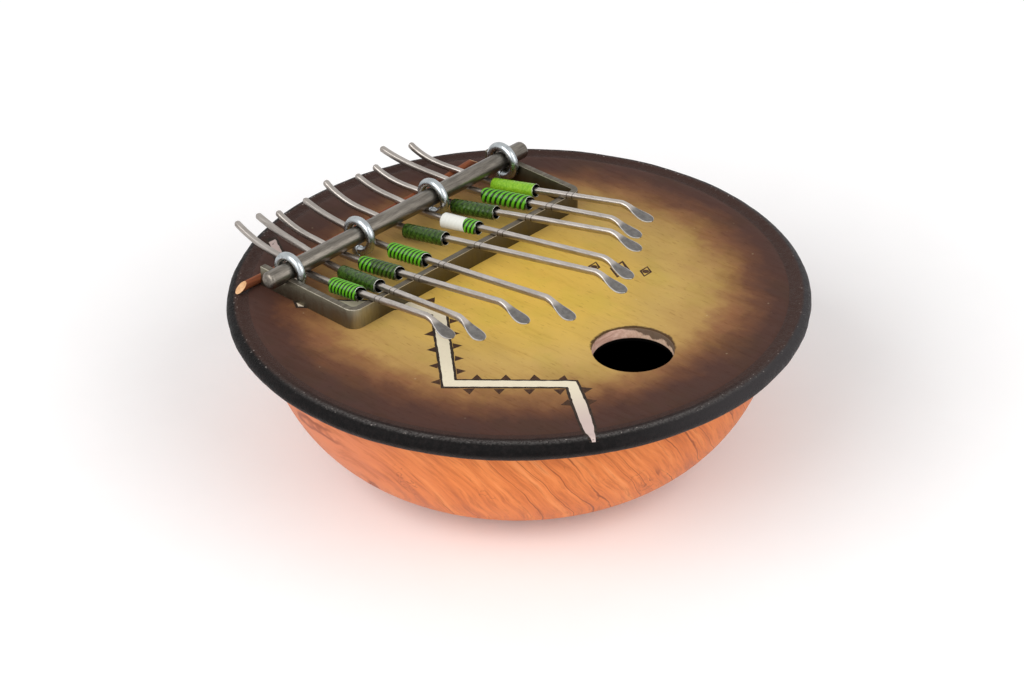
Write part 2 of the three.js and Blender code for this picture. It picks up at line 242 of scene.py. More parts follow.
# Sleeves
SLEEVE_INNER_RADIUS = 2.2 * MM
SHEET_THICKNESS = 0.22 * MM
SHEET_PITCH = 0.5 * MM
SLEEVE_TURNS = 1.25
SLEEVE_SIDES = 40
RIB_STARTS = 3
RINGS_PER_RIB = 8
LABEL_EDGE = 0.68
LABEL_FADE = 0.05

# For each sleeve: print, count and depth of ribs in millimetres, flare to the rear, angle of the seam
SLEEVES = [
    ("ribbed", 8, 0.24, 0.0, 2.6),
    ("dark", 8, 0.04, 0.0, 2.6),
    ("wrapped", 9, 0.14, 0.0, 2.6),
    ("ribbed", 9, 0.24, 0.0, 2.6),
    ("dark", 9, 0.04, 0.0, 2.6),
    ("label", 9, 0.16, 0.12, 2.18),
    ("dark", 9, 0.05, 0.0, 2.6),
    ("ribbed", 9, 0.24, 0.0, 2.6),
    ("glossy", 6, 0.0, 0.0, 2.6),
]

# Soft lights: azimuth and elevation in degrees as for the camera, and power in watts
SOFTBOXES = {"left_softbox": (-95, 36, 18), "right_softbox": (6, 36, 12)}
SOFTBOX_DISTANCE = 1.6
SOFTBOX_SIZE = 1.4
AMBIENT = 0.5

# Floor, and its glow for the camera alone, which rises over two reaches in millimetres
FLOOR_SIZE = 4.0
FLOOR_LIFT = (0.08, 0.2)
LIFT_REACH = (140, 300)
FAR_LIFT = (0.0, 0.5)
FAR_REACH = (400, 1600)

# Places taken from the frame
joints = {joint["name"]: joint for joint in frame["joints"]}
bowl_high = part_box("bowl")[1]
board_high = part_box("soundboard")[1]
strip_low, strip_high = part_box("bridge_frame")
bar_low, bar_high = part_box("pressure_bar")
stick_low, stick_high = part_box("rear_bridge_stick")
bowl_radius = bowl_high.x
board_radius = board_high.x
deck = board_high.z - EDGE_PROUD
board_bottom = deck - BOARD_THICKNESS
bar_axis = (bar_low + bar_high) / 2
bar_radius = (bar_high.z - bar_low.z) / 2
stick_axis = (stick_low + stick_high) / 2
stick_radius = (stick_high.z - stick_low.z) / 2


# Shader building

class Graph:
    """Shader nodes of one tree. A socket takes a plain value or the output of another node."""

    def __init__(self, tree):
        self.tree = tree

    def feed(self, socket, value):
        if isinstance(value, bpy.types.NodeSocket):
            self.tree.links.new(value, socket)
        else:
            socket.default_value = value

    def node(self, kind, inputs=None, **settings):
        made = self.tree.nodes.new(kind)
        for name, value in settings.items():
            setattr(made, name, value)
        for socket, value in (inputs or {}).items():
            self.feed(made.inputs[socket], value)
        return made

    def object_place(self):
        return self.node("ShaderNodeTexCoord").outputs["Object"]

    def attribute(self, name):
        return self.node("ShaderNodeAttribute", attribute_name=name).outputs["Fac"]

    def mapped(self, centre=(0, 0, 0), turn=(0, 0, 0), unit=(MM, MM, MM)):
        """Object place seen from a centre and turned axes, counted in units, by default millimetres."""
        inputs = {"Vector": self.object_place(), "Location": centre, "Rotation": turn, "Scale": unit}
        return self.node("ShaderNodeMapping", inputs, vector_type="TEXTURE").outputs["Vector"]

    def axes(self, vector):
        return self.node("ShaderNodeSeparateXYZ", {0: vector}).outputs

    def picture_axes(self, centre=(0, 0, 0)):
        """X to the right in the picture and Y away from the camera, in millimetres from a centre."""
        return self.axes(self.mapped(centre=centre, turn=PICTURE_TURN))

    def math(self, operation, first, second=0.0):
        return self.node("ShaderNodeMath", {0: first, 1: second}, operation=operation).outputs[0]

    def plus(self, first, second):
        return self.math("ADD", first, second)

    def times(self, first, second):
        return self.math("MULTIPLY", first, second)

    def centred(self, value):
        """A value that runs from 0 to 1, seen from its middle."""
        return self.math("SUBTRACT", value, 0.5)

    def gap(self, value, middle):
        """How far a value lies from another."""
        return self.math("ABSOLUTE", self.math("SUBTRACT", value, middle))

    def vector(self, operation, first, second):
        return self.node("ShaderNodeVectorMath", {0: first, 1: second}, operation=operation).outputs[0]

    def stretched(self, vector, factors):
        return self.vector("MULTIPLY", vector, factors)

    def length(self, vector):
        return self.node("ShaderNodeVectorMath", {0: vector}, operation="LENGTH").outputs["Value"]

    def noise(self, vector, scale, detail=4.0, roughness=0.55, distortion=0.0):
        inputs = {"Vector": vector, "Scale": scale, "Detail": detail, "Roughness": roughness}
        inputs["Distortion"] = distortion
        return self.node("ShaderNodeTexNoise", inputs)

    def grey(self, vector, scale, detail=4.0, roughness=0.55, distortion=0.0):
        return self.noise(vector, scale, detail, roughness, distortion).outputs["Fac"]

    def warped(self, vector, scale, amount):
        """A place pushed about by a slow noise."""
        push = self.noise(vector, scale, 2.0).outputs["Color"]
        centred = self.vector("SUBTRACT", push, (0.5, 0.5, 0.5))
        return self.vector("ADD", vector, self.stretched(centred, (amount, amount, amount)))

    def band(self, value, low, high, start=0.0, end=1.0):
        """A smooth step from one value to another."""
        inputs = {"Value": value, "From Min": low, "From Max": high, "To Min": start, "To Max": end}
        made = self.node("ShaderNodeMapRange", inputs, interpolation_type="SMOOTHSTEP")
        return made.outputs["Result"]

    def ramp(self, factor, stops):
        made = self.node("ShaderNodeValToRGB", {"Fac": factor})
        elements = made.color_ramp.elements
        while len(elements) < len(stops):
            elements.new(1.0)
        for element, (place, colour) in zip(elements, stops):
            element.position = place
            element.color = (*colour, 1.0)
        return made.outputs["Color"]

    def mix(self, factor, first, second, blend="MIX"):
        made = self.node("ShaderNodeMix", data_type="RGBA", blend_type=blend)
        for index, value in ((0, factor), (6, first), (7, second)):
            colour = isinstance(value, tuple)
            self.feed(made.inputs[index], (*value, 1.0) if colour else value)
        return made.outputs[2]

    def bump(self, height, strength, depth):
        inputs = {"Height": height, "Strength": strength, "Distance": depth}
        return self.node("ShaderNodeBump", inputs).outputs["Normal"]

    def effect(self, group, **inputs):
        made = self.tree.nodes.new("ShaderNodeGroup")
        made.node_tree = group
        for name, value in inputs.items():
            self.feed(made.inputs[name], value)
        return made.outputs


def effect_group(name, inputs, outputs):
    """An empty node group with its named sockets."""
    group = bpy.data.node_groups.new(name, "ShaderNodeTree")
    for label, kind, value in inputs:
        socket = group.interface.new_socket(name=label, in_out="INPUT", socket_type=kind)
        if value is not None:
            socket.default_value = value
    for label in outputs:
        group.interface.new_socket(name=label, in_out="OUTPUT", socket_type="NodeSocketFloat")
    given = group.nodes.new("NodeGroupInput").outputs
    result = group.nodes.new("NodeGroupOutput").inputs
    return group, Graph(group), given, result


def make_wood_grain():
    """Streaks, fine fibres and thin figure lines across Y of a place in millimetres."""
    inputs = [
        ("Vector", "NodeSocketVector", None),
        ("Stretch", "NodeSocketVector", (0.06, 1.0, 1.0)),
        ("Width", "NodeSocketFloat", 3.0),
    ]
    group, graph, given, result = effect_group("wood_grain", inputs, ("Streaks", "Fibres", "Lines"))
    fineness = graph.math("DIVIDE", 1.0, given["Width"])
    bent = graph.warped(given["Vector"], 0.02, 9.0)
    drawn = graph.stretched(bent, given["Stretch"])
    graph.feed(result["Streaks"], graph.grey(drawn, fineness, 5.0, 0.6, 0.3))
    graph.feed(result["Fibres"], graph.grey(drawn, graph.times(fineness, 3.5), 4.0, 0.7))
    wavy = graph.warped(bent, 0.12, 1.2)
    across = graph.axes(wavy)["Y"]
    spacing = graph.times(graph.times(across, fineness), 0.5)
    uneven = graph.grey(drawn, graph.times(fineness, 0.3), 2.0)
    folded = graph.math("PINGPONG", graph.plus(spacing, graph.times(uneven, 3.0)), 0.5)
    graph.feed(result["Lines"], graph.band(folded, 0.008, 0.045, 1.0, 0.0))
    return group


def make_scuffs():
    """Long scratches and soft smudges on metal, along X of a place in millimetres."""
    inputs = [("Vector", "NodeSocketVector", None)]
    group, graph, given, result = effect_group("scuffs", inputs, ("Scratches", "Smudges"))
    drawn = graph.stretched(given["Vector"], (0.04, 1.0, 1.0))
    scratches = graph.grey(drawn, 5.0, 4.0, 0.7)
    graph.feed(result["Scratches"], graph.band(scratches, 0.35, 0.75))
    smeared = graph.stretched(given["Vector"], (0.15, 1.0, 1.0))
    graph.feed(result["Smudges"], graph.grey(smeared, 0.6, 4.0, 0.6, 0.3))
    return group


def make_specks():
    """Scattered small round flecks."""
    inputs = [
        ("Vector", "NodeSocketVector", None),
        ("Spacing", "NodeSocketFloat", 2.0),
        ("Share", "NodeSocketFloat", 0.2),
    ]
    group, graph, given, result = effect_group("specks", inputs, ("Mask",))
    fineness = graph.math("DIVIDE", 1.0, given["Spacing"])
    cells = graph.node("ShaderNodeTexVoronoi", {"Vector": given["Vector"], "Scale": fineness})
    near = graph.band(cells.outputs["Distance"], 0.05, 0.25, 1.0, 0.0)
    pick = graph.node("ShaderNodeSeparateColor", {"Color": cells.outputs["Color"]}).outputs[0]
    chosen = graph.math("LESS_THAN", pick, given["Share"])
    graph.feed(result["Mask"], graph.times(near, chosen))
    return group


WOOD_GRAIN = make_wood_grain()
SCUFFS = make_scuffs()
SPECKS = make_specks()


def new_material(name, **plain):
    """A material with its shader; the plain values go on the shader's own sockets."""
    material = bpy.data.materials.new(name)
    material.use_nodes = True
    shader = material.node_tree.nodes["Principled BSDF"]
    for socket, value in plain.items():
        shader.inputs[socket.replace("_", " ")].default_value = value
    return material, Graph(material.node_tree), shader.inputs


# Finishes

def turned_wood():
    """Orange satin wood cut through slanting layers, with thin dark figure lines, and painted shade that
    is pinker on its left and darker on its right.
    """
    material, graph, shader = new_material(
        "turned_wood", Specular_IOR_Level=0.14, Coat_Weight=0.03, Coat_Roughness=0.25,
    )
    place = graph.mapped(turn=LAYERS.to_track_quat("Y", "Z").to_euler())
    grain = graph.effect(WOOD_GRAIN, Vector=place, Stretch=(0.07, 1.0, 0.07), Width=3.2)
    tone = graph.ramp(grain["Streaks"], [
        (0.3, (0.52, 0.135, 0.04)),
        (0.44, (0.70, 0.2, 0.055)),
        (0.56, (0.79, 0.245, 0.07)),
        (0.7, (0.86, 0.32, 0.11)),
    ])
    # Painted shade across the bowl: pinker and duller towards the left of the view, darker towards its
    # right.
    sideways = graph.picture_axes()["X"]
    side_light = graph.plus(sideways, graph.times(graph.grey(place, 0.05, 3.0), 30.0))
    tone = graph.mix(graph.band(side_light, -55.0, -5.0, 0.65, 0.0), tone, (0.62, 0.205, 0.11))
    tone = graph.mix(graph.band(side_light, 50.0, 95.0, 0.0, 0.35), tone, (0.58, 0.145, 0.04))
    dark_fibre = graph.band(grain["Fibres"], 0.46, 0.68, 0.0, 0.5)
    tone = graph.mix(dark_fibre, tone, (0.42, 0.11, 0.035))
    drawn = graph.stretched(place, (0.25, 1.0, 0.25))
    where = graph.band(graph.grey(drawn, 0.09, 2.0), 0.42, 0.56)
    figure = graph.times(grain["Lines"], where)
    tone = graph.mix(graph.times(figure, 0.8), tone, (0.26, 0.06, 0.025))
    tone = graph.mix(wood_knots(graph, place), tone, (0.20, 0.05, 0.02))
    graph.feed(shader["Base Color"], tone)
    graph.feed(shader["Roughness"], graph.band(grain["Streaks"], 0.2, 0.8, 0.36, 0.5))
    relief = graph.math("SUBTRACT", grain["Fibres"], figure)
    graph.feed(shader["Normal"], graph.bump(relief, 0.12, 0.1 * MM))
    return material


def wood_knots(graph, place):
    """A few small curled dark marks."""
    curled = graph.grey(graph.warped(place, 0.2, 4.0), 0.16, 2.0)
    folded = graph.math("PINGPONG", graph.times(curled, 6.0), 0.5)
    thin = graph.band(folded, 0.03, 0.1, 1.0, 0.0)
    where = graph.band(graph.grey(place, 0.055, 2.0), 0.62, 0.7, 0.0, 0.5)
    return graph.times(thin, where)


def shaded_wood():
    """Painted shade for the inside of the bowl."""
    material, graph, shader = new_material("shaded_wood", Roughness=0.9, Specular_IOR_Level=0.0)
    # Painted shade: near-black with a faint unevenness.
    darkness = graph.grey(graph.mapped(), 0.1, 3.0)
    graph.feed(shader["Base Color"], graph.mix(darkness, DEEP_SHADE, (0.002, 0.0016, 0.0015)))
    return material


def stain_reach(graph, place):
    """How far out a place lies in the stain, from 0 in its middle to 1 at its rim, with cloudy bounds."""
    stain = graph.mapped(centre=(*STAIN_MIDDLE, deck), unit=(*STAIN_REACH, 1.0))
    cloud = graph.centred(graph.grey(place, 0.04, 5.0, 0.62, 0.4))
    blotch = graph.centred(graph.grey(graph.stretched(place, (0.4, 1.0, 1.0)), 0.16, 4.0))
    reach = graph.plus(graph.length(stain), graph.times(cloud, 0.18))
    return graph.plus(reach, graph.times(blotch, 0.09))


def stained_board():
    """Golden in the middle, through tan and red-brown to a dark edge, on wood grained along Y."""
    material, graph, shader = new_material("stained_board", Specular_IOR_Level=0.06)
    place = graph.mapped(turn=(0, 0, math.pi / 2))
    grain = graph.effect(WOOD_GRAIN, Vector=place, Stretch=(0.1, 1.0, 1.0), Width=2.0)
    reach = stain_reach(graph, place)
    tone = graph.ramp(reach, [
        (0.0, (0.80, 0.51, 0.09)),
        (0.3, (0.72, 0.47, 0.10)),
        (0.52, (0.56, 0.365, 0.11)),
        (0.66, (0.42, 0.25, 0.085)),
        (0.74, (0.26, 0.125, 0.05)),
        (0.81, (0.135, 0.057, 0.03)),
        (0.88, (0.074, 0.033, 0.024)),
        (1.0, (0.058, 0.03, 0.024)),
    ])
    ring_zone = graph.times(graph.band(reach, 0.58, 0.7), graph.band(reach, 0.74, 0.84, 1.0, 0.0))
    red = graph.times(ring_zone, graph.band(graph.grey(place, 0.07, 4.0), 0.5, 0.66, 0.0, 0.4))
    tone = graph.mix(red, tone, (0.23, 0.09, 0.048))
    olive = graph.band(graph.grey(place, 0.05, 3.0), 0.5, 0.66, 0.0, 0.3)
    tone = graph.mix(olive, tone, (0.82, 0.95, 0.66), "MULTIPLY")
    streaks = graph.band(grain["Streaks"], 0.5, 0.75, 0.0, 0.25)
    tone = graph.mix(streaks, tone, (0.62, 0.5, 0.4), "MULTIPLY")
    pores = graph.grey(graph.stretched(place, (0.22, 1.0, 1.0)), 1.1, 2.0, 0.5)
    tone = graph.mix(graph.band(pores, 0.6, 0.72, 0.0, 0.3), tone, (0.42, 0.3, 0.22), "MULTIPLY")
    dust = graph.effect(SPECKS, Vector=graph.mapped(), Spacing=2.2, Share=0.02)["Mask"]
    tone = graph.mix(graph.times(dust, 0.2), tone, (0.75, 0.62, 0.4))
    tone = graph.mix(dark_hole_lip(graph), tone, (0.04, 0.018, 0.012))
    graph.feed(shader["Base Color"], tone)
    graph.feed(shader["Roughness"], graph.band(grain["Streaks"], 0.2, 0.8, 0.42, 0.58))
    graph.feed(shader["Normal"], graph.bump(grain["Fibres"], 0.15, 0.15 * MM))
    return material


def dark_hole_lip(graph):
    """A dark line round the rear of the sound hole's lip."""
    turned = graph.mapped(centre=HOLE_CENTRE, turn=PICTURE_TURN, unit=PLAN)
    away = graph.axes(turned)["Y"]
    uneven = graph.times(graph.grey(graph.mapped(), 0.5, 4.0), 2.0)
    far = graph.plus(graph.band(away, -8.0, 9.0, -2.0, 0.2), uneven)
    gap = graph.math("SUBTRACT", graph.length(turned), graph.plus(far, HOLE_RADIUS / MM))
    return graph.band(gap, -0.3, 0.7, 0.92, 0.0)


def black_edge():
    """A blackened rough bead: brown on its inner side, with painted shade in its groove at the front, a
    painted sheen on its right, and a painted highlight and painted glints along its crest.
    """
    material, graph, shader = new_material("black_edge", Specular_IOR_Level=0.07)
    place = graph.mapped()
    darkness = graph.grey(place, 0.5, 5.0, 0.65)
    out = graph.length(graph.mapped(unit=PLAN))
    out = graph.plus(out, graph.times(graph.centred(darkness), 1.6))
    crest = (board_radius - EDGE_RADIUS) / MM
    black = graph.mix(graph.band(darkness, 0.4, 0.75), (0.003, 0.0025, 0.0025), (0.012, 0.0095, 0.0095))
    turned = graph.picture_axes()
    front = graph.band(turned["Y"], -95.0, -45.0, 1.0, 0.0)
    # Painted shade: the groove inside the bead is darker at the front.
    groove = graph.times(front, graph.band(out, crest - 3.4, crest - 2.0))
    inner = graph.mix(groove, (0.046, 0.024, 0.019), (0.015, 0.008, 0.007))
    # Painted sheen: the outer side of the bead is paler towards the right.
    pale = graph.band(turned["X"], 20.0, 95.0, 0.0, 0.6)
    outer = graph.mix(pale, black, (0.06, 0.054, 0.056))
    tone = graph.mix(graph.band(out, crest - 0.2, crest + 1.3), inner, outer)
    height = graph.axes(place)["Z"]
    middle = (deck - EDGE_RADIUS) / MM
    foot = graph.band(height, middle - 1.6, middle + 0.4, 0.7, 0.0)
    tone = graph.mix(foot, tone, (0.034, 0.028, 0.026))
    # Painted highlight along the crest at the front.
    crest_highlight = graph.times(painted_crest_highlight(graph, place, out, crest), front)
    tone = graph.mix(crest_highlight, tone, (0.1, 0.092, 0.088))
    # Painted glints along the crest.
    tone = graph.mix(crest_glints(graph, place, out, crest), tone, (0.42, 0.37, 0.34))
    graph.feed(shader["Base Color"], tone)
    graph.feed(shader["Roughness"], graph.band(darkness, 0.3, 0.75, 0.34, 0.6))
    crust = graph.plus(graph.grey(place, 1.6, 3.0), graph.times(darkness, 1.2))
    graph.feed(shader["Normal"], graph.bump(crust, 0.9, 0.4 * MM))
    return material


def painted_crest_highlight(graph, place, out, crest):
    """Painted highlight along the top of the bead, in patches."""
    near = graph.band(graph.gap(out, crest + 0.3), 0.2, 1.7, 0.8, 0.0)
    return graph.times(near, graph.band(graph.grey(place, 1.1, 4.0, 0.7), 0.35, 0.6, 0.1, 1.0))


def crest_glints(graph, place, out, crest):
    """Painted glints: pale flecks along the top of the bead, in patches."""
    flecks = graph.effect(SPECKS, Vector=graph.warped(place, 0.8, 1.2), Spacing=1.5, Share=0.6)["Mask"]
    near = graph.band(graph.gap(out, crest + 0.4), 0.4, 1.6, 1.0, 0.0)
    patches = graph.band(graph.grey(place, 0.06, 3.0), 0.34, 0.52, 0.15, 0.9)
    return graph.times(flecks, graph.times(near, patches))


def raw_wood(name, light, dark):
    """Bare wood, as in the wall of the sound hole and on whittled ends, with fibres along X."""
    material, graph, shader = new_material(name, Roughness=0.65, Specular_IOR_Level=0.2)
    grain = graph.effect(WOOD_GRAIN, Vector=graph.mapped(), Width=1.2)
    tone = graph.ramp(grain["Streaks"], [(0.3, dark), (0.65, light)])
    tone = graph.mix(graph.band(grain["Fibres"], 0.5, 0.75, 0.0, 0.4), tone, dark)
    graph.feed(shader["Base Color"], tone)
    graph.feed(shader["Normal"], graph.bump(grain["Fibres"], 0.35, 0.2 * MM))
    return material, graph, shader, tone


def hole_wall():
    """The bare wall of the sound hole, darker at its top and most so at its upper right, with painted
    shade on its right side and at its foot.
    """
    material, graph, shader, tone = raw_wood("hole_wall", (0.82, 0.56, 0.45), (0.55, 0.3, 0.22))
    shader["Specular IOR Level"].default_value = 0.03
    height = graph.axes(graph.object_place())["Z"]
    sideways = graph.picture_axes(HOLE_CENTRE)["X"]
    depth = graph.band(sideways, -5.0, 9.0, *DARK_TOP_DEPTH)
    dark_top_reach = graph.times(graph.grey(graph.mapped(), 0.25, 4.0), depth)
    darkness = graph.band(graph.plus(height, dark_top_reach), deck + DARK_TOP_EDGE[0], deck + DARK_TOP_EDGE[1], 0.0, 0.85)
    # Painted shade: the wall is browner and darker on its right.
    tone = graph.mix(graph.band(sideways, -9.0, 9.0, 0.0, 0.4), tone, (0.5, 0.42, 0.26))
    tone = graph.mix(darkness, tone, (0.085, 0.055, 0.034))
    shade = graph.band(height, board_bottom + SHADE_EDGE[0], board_bottom + SHADE_EDGE[1], 1.0, 0.0)
    graph.feed(shader["Base Color"], graph.mix(shade, tone, DEEP_SHADE))
    return material


def worn_steel(name, light, dark, turn=(0, 0, 0), smooth=0.28, rough=0.45, rubbed=0.35):
    """Bare steel with drawn scratches and smudges along X of the turned axes."""
    material, graph, shader = new_material(name, Metallic=1.0)
    scuffs = graph.effect(SCUFFS, Vector=graph.mapped(turn=turn))
    tone = graph.mix(graph.band(scuffs["Smudges"], 0.35, 0.65), light, dark)
    bright = tuple(min(1.0, 1.7 * part) for part in light)
    tone = graph.mix(graph.times(scuffs["Scratches"], rubbed), tone, bright)
    graph.feed(shader["Base Color"], tone)
    graph.feed(shader["Roughness"], graph.band(scuffs["Smudges"], 0.3, 0.7, smooth, rough))
    graph.feed(shader["Normal"], graph.bump(scuffs["Scratches"], 0.12, 0.05 * MM))
    return material, graph, shader, tone


def strip_steel():
    """Dull steel strip with soft upright streaks, pale at its left corner, darker on the outside of its
    left arm, and with painted shade over its bridge and right arm.
    """
    material, graph, shader, tone = worn_steel(
        "strip_steel", (0.36, 0.345, 0.265), (0.29, 0.277, 0.21), turn=(0, math.pi / 2, 0),
        smooth=0.36, rough=0.5, rubbed=0.15,
    )
    across = graph.math("SUBTRACT", graph.axes(graph.object_place())["X"], strip_low.x)
    tone = graph.mix(graph.band(across, *ARM_EDGE, 0.6, 0.0), tone, (0.085, 0.068, 0.04))
    # Painted shade over the bridge and the right arm.
    bridge_shade = graph.band(across, *BRIDGE_SHADE_EDGE, 0.0, 0.9)
    graph.feed(shader["Base Color"], graph.mix(bridge_shade, tone, (0.095, 0.08, 0.052)))
    return material


def tongue_steel():
    """Satin spring steel: dark filed ticks in front of the bridge, a darker paddle with a painted
    highlight along its rim.
    """
    material, graph, shader, tone = worn_steel(
        "tongue_steel", (0.47, 0.43, 0.395), (0.35, 0.315, 0.285), turn=(0, 0, math.pi / 2),
        smooth=0.3, rough=0.42,
    )
    flat = graph.attribute("flat")
    rim = graph.attribute("rim")
    hammered = graph.band(graph.grey(graph.mapped(), 0.5, 3.0), 0.35, 0.65)
    dish = graph.mix(hammered, (0.092, 0.09, 0.087), (0.155, 0.151, 0.147))
    tone = graph.mix(graph.band(flat, 0.25, 0.8, 0.0, 0.85), tone, dish)
    # Painted highlight along the rim of each paddle.
    bright = graph.times(graph.band(rim, 0.8, 1.0), graph.band(flat, 0.4, 0.9))
    tone = graph.mix(bright, tone, (0.64, 0.62, 0.6))
    along = graph.attribute("along")
    tone = graph.mix(graph.band(along, *TAIL_SHADE, 0.3, 0.0), tone, (0.15, 0.138, 0.125))
    ticks = 0.0
    for tick in TICKS:
        ticks = graph.plus(graph.band(graph.gap(along, tick), *TICK_EDGE, 0.8, 0.0), ticks)
    graph.feed(shader["Base Color"], graph.mix(ticks, tone, (0.05, 0.04, 0.035)))
    graph.feed(shader["Roughness"], graph.band(flat, 0.2, 0.8, 0.34, 0.5))
    return material


def bright_zinc():
    """Bright plating with a faint blue cast and a little dulling."""
    material, graph, shader = new_material("bright_zinc", Metallic=1.0)
    scuffs = graph.effect(SCUFFS, Vector=graph.mapped())
    graph.feed(shader["Base Color"], graph.mix(
        graph.band(scuffs["Smudges"], 0.4, 0.7, 0.0, 0.6), (0.44, 0.47, 0.485), (0.29, 0.313, 0.326),
    ))
    graph.feed(shader["Roughness"], graph.band(scuffs["Smudges"], 0.35, 0.7, 0.22, 0.32))
    graph.feed(shader["Normal"], graph.bump(scuffs["Smudges"], 0.1, 0.1 * MM))
    return material


def printed_sheet(name, light, dark, ribbed, mottle, rear=None, edge=0.0, lean=0.12):
    """Lacquered thin sheet: bright on the ribs, mottled elsewhere, with another print at its rear."""
    material, graph, shader = new_material(
        name, Specular_IOR_Level=0.2, Coat_Weight=0.2, Coat_Roughness=0.1,
    )
    place = graph.mapped()
    cloud = graph.grey(place, 0.9, 4.0, 0.65)
    crest = graph.times(graph.attribute("rib"), ribbed)
    spots = graph.times(graph.centred(cloud), mottle)
    tone = graph.mix(graph.band(graph.plus(crest, spots), -0.4, 0.4), dark, light)
    if rear:
        leaning = graph.times(graph.attribute("round"), lean)
        slanted = graph.plus(graph.attribute("along"), leaning)
        back = graph.mix(graph.band(graph.attribute("rib"), -0.4, 0.4), rear[0], rear[1])
        tone = graph.mix(graph.math("GREATER_THAN", slanted, edge), back, tone)
    graph.feed(shader["Base Color"], tone)
    graph.feed(shader["Roughness"], graph.band(cloud, 0.3, 0.7, 0.2, 0.36))
    graph.feed(shader["Normal"], graph.bump(cloud, 0.1, 0.15 * MM))
    return material


def cream_paint():
    """Thick cream paint, pinker towards the board's edge, with worn streaks."""
    material, graph, shader = new_material("cream_paint", Roughness=0.5, Specular_IOR_Level=0.2)
    place = graph.mapped()
    edge = graph.band(graph.length(graph.mapped(unit=PLAN)), 70.0, 100.0)
    tone = graph.mix(edge, (0.77, 0.69, 0.52), (0.58, 0.455, 0.42))
    worn = graph.band(graph.grey(place, 0.7, 5.0, 0.7), 0.54, 0.74, 0.0, 0.35)
    tone = graph.mix(worn, tone, (0.56, 0.45, 0.32))
    graph.feed(shader["Base Color"], tone)
    graph.feed(shader["Normal"], graph.bump(graph.grey(place, 1.2, 4.0), 0.25, 0.15 * MM))
    return material


def burnt_mark(name, deep, pale):
    """Marks burnt into the board, uneven in depth."""
    material, graph, shader = new_material(name, Roughness=0.7, Specular_IOR_Level=0.15)
    char = graph.grey(graph.mapped(), 0.9, 4.0, 0.65)
    graph.feed(shader["Base Color"], graph.ramp(char, [(0.35, deep), (0.7, pale)]))
    graph.feed(shader["Normal"], graph.bump(char, 0.3, 0.1 * MM))
    return material


# Mesh building

def new_piece(name, bm, slot, *materials):
    """A finished bmesh as a smooth-shaded object at the origin."""
    mesh = bpy.data.meshes.new(name)
    bm.to_mesh(mesh)
    bm.free()
    mesh.shade_smooth()
    mesh.set_sharp_from_angle(angle=SHARP_ANGLE)
    for material in materials:
        mesh.materials.append(material)
    piece = bpy.data.objects.new(name, mesh)
    bpy.context.scene.collection.objects.link(piece)
    return piece


def fixed_piece(name, bm, slot, *materials, nodes=()):
    """A piece that stays with the bowl and the board."""
    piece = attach(new_piece(name, bm, slot, *materials), ROOT)
    if nodes:
        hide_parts(*nodes)
    return piece


def only(kind, made):
    """The items of one kind among those that an operator has made."""
    return [item for item in made["geom"] if isinstance(item, kind)]


def face_all(bm):
    """Turns all faces of a closed mesh outwards, and those of an open one to the same side."""
    bmesh.ops.recalc_face_normals(bm, faces=bm.faces)


def quarter(steps):
    """Even angles from 0 to a right angle."""
    return [math.pi / 2 * step / steps for step in range(steps + 1)]


def open_line(bm, points):
    """A run of points and the edges between them."""
    verts = [bm.verts.new(point) for point in points]
    return verts, [bm.edges.new(pair) for pair in zip(verts, verts[1:])]


def float_layers(bm, *names):
    """Values kept on the points of a mesh, for a material to read."""
    return {name: bm.verts.layers.float.new(name) for name in names}


def round_edges(bm, edges, radius, steps):
    """Bevels edges to a round."""
    bmesh.ops.bevel(
        bm, geom=edges, offset=radius, offset_type="OFFSET", segments=steps, profile=0.5,
        affect="EDGES", material=-1,
    )


def pull(bm, edges, matrix):
    """Extrudes a run of edges, moves the new run by a matrix and returns it."""
    made = bmesh.ops.extrude_edge_only(bm, edges=edges)
    verts = only(bmesh.types.BMVert, made)
    bmesh.ops.transform(bm, matrix=matrix, verts=verts)
    fresh = set(verts)
    return [edge for edge in only(bmesh.types.BMEdge, made) if fresh.issuperset(edge.verts)]


def ring(bm, radius, segments, centre):
    """A level loop of edges round a centre."""
    place = Matrix.Translation(centre)
    made = bmesh.ops.create_circle(bm, radius=radius, segments=segments, matrix=place)
    return loop_edges(made["verts"])


def loop_edges(verts):
    """The edges that run between some points."""
    inside = set(verts)
    return list({edge for vert in verts for edge in vert.link_edges if edge.other_vert(vert) in inside})


def sweep(bm, stations, segments, squareness=2.0):
    """A closed rod through stations: each is a matrix that places a circle of radius 1."""
    verts = bmesh.ops.create_circle(bm, cap_ends=True, radius=1.0, segments=segments)["verts"]
    for vert in verts:
        for axis in (0, 1):
            part = vert.co[axis]
            vert.co[axis] = math.copysign(abs(part) ** (2.0 / squareness), part)
    bmesh.ops.transform(bm, matrix=stations[0], verts=verts)
    edges = loop_edges(verts)
    for before, after in zip(stations, stations[1:]):
        edges = pull(bm, edges, after @ before.inverted())
    bmesh.ops.edgeloop_fill(bm, edges=edges)
    face_all(bm)


def turned_shell(bm, profile, sides):
    """A profile of radius and height spun once about Z."""
    verts, edges = open_line(bm, [(radius, 0, height) for radius, height in profile])
    bmesh.ops.spin(
        bm, geom=verts + edges, axis=(0, 0, 1), cent=(0, 0, 0), angle=math.tau, steps=sides,
        use_merge=True,
    )
    bmesh.ops.remove_doubles(bm, verts=bm.verts, dist=MERGE_DISTANCE)
    face_all(bm)


# Pieces

def bowl_side(inset, floor):
    """A quarter of an ellipse in radius and height, from the foot up to the mouth."""
    width = bowl_radius - FOOT_RADIUS - inset
    depth = bowl_high.z - floor
    angles = quarter(BOWL_STEPS)
    return [(FOOT_RADIUS + width * math.sin(a), bowl_high.z - depth * math.cos(a)) for a in angles]


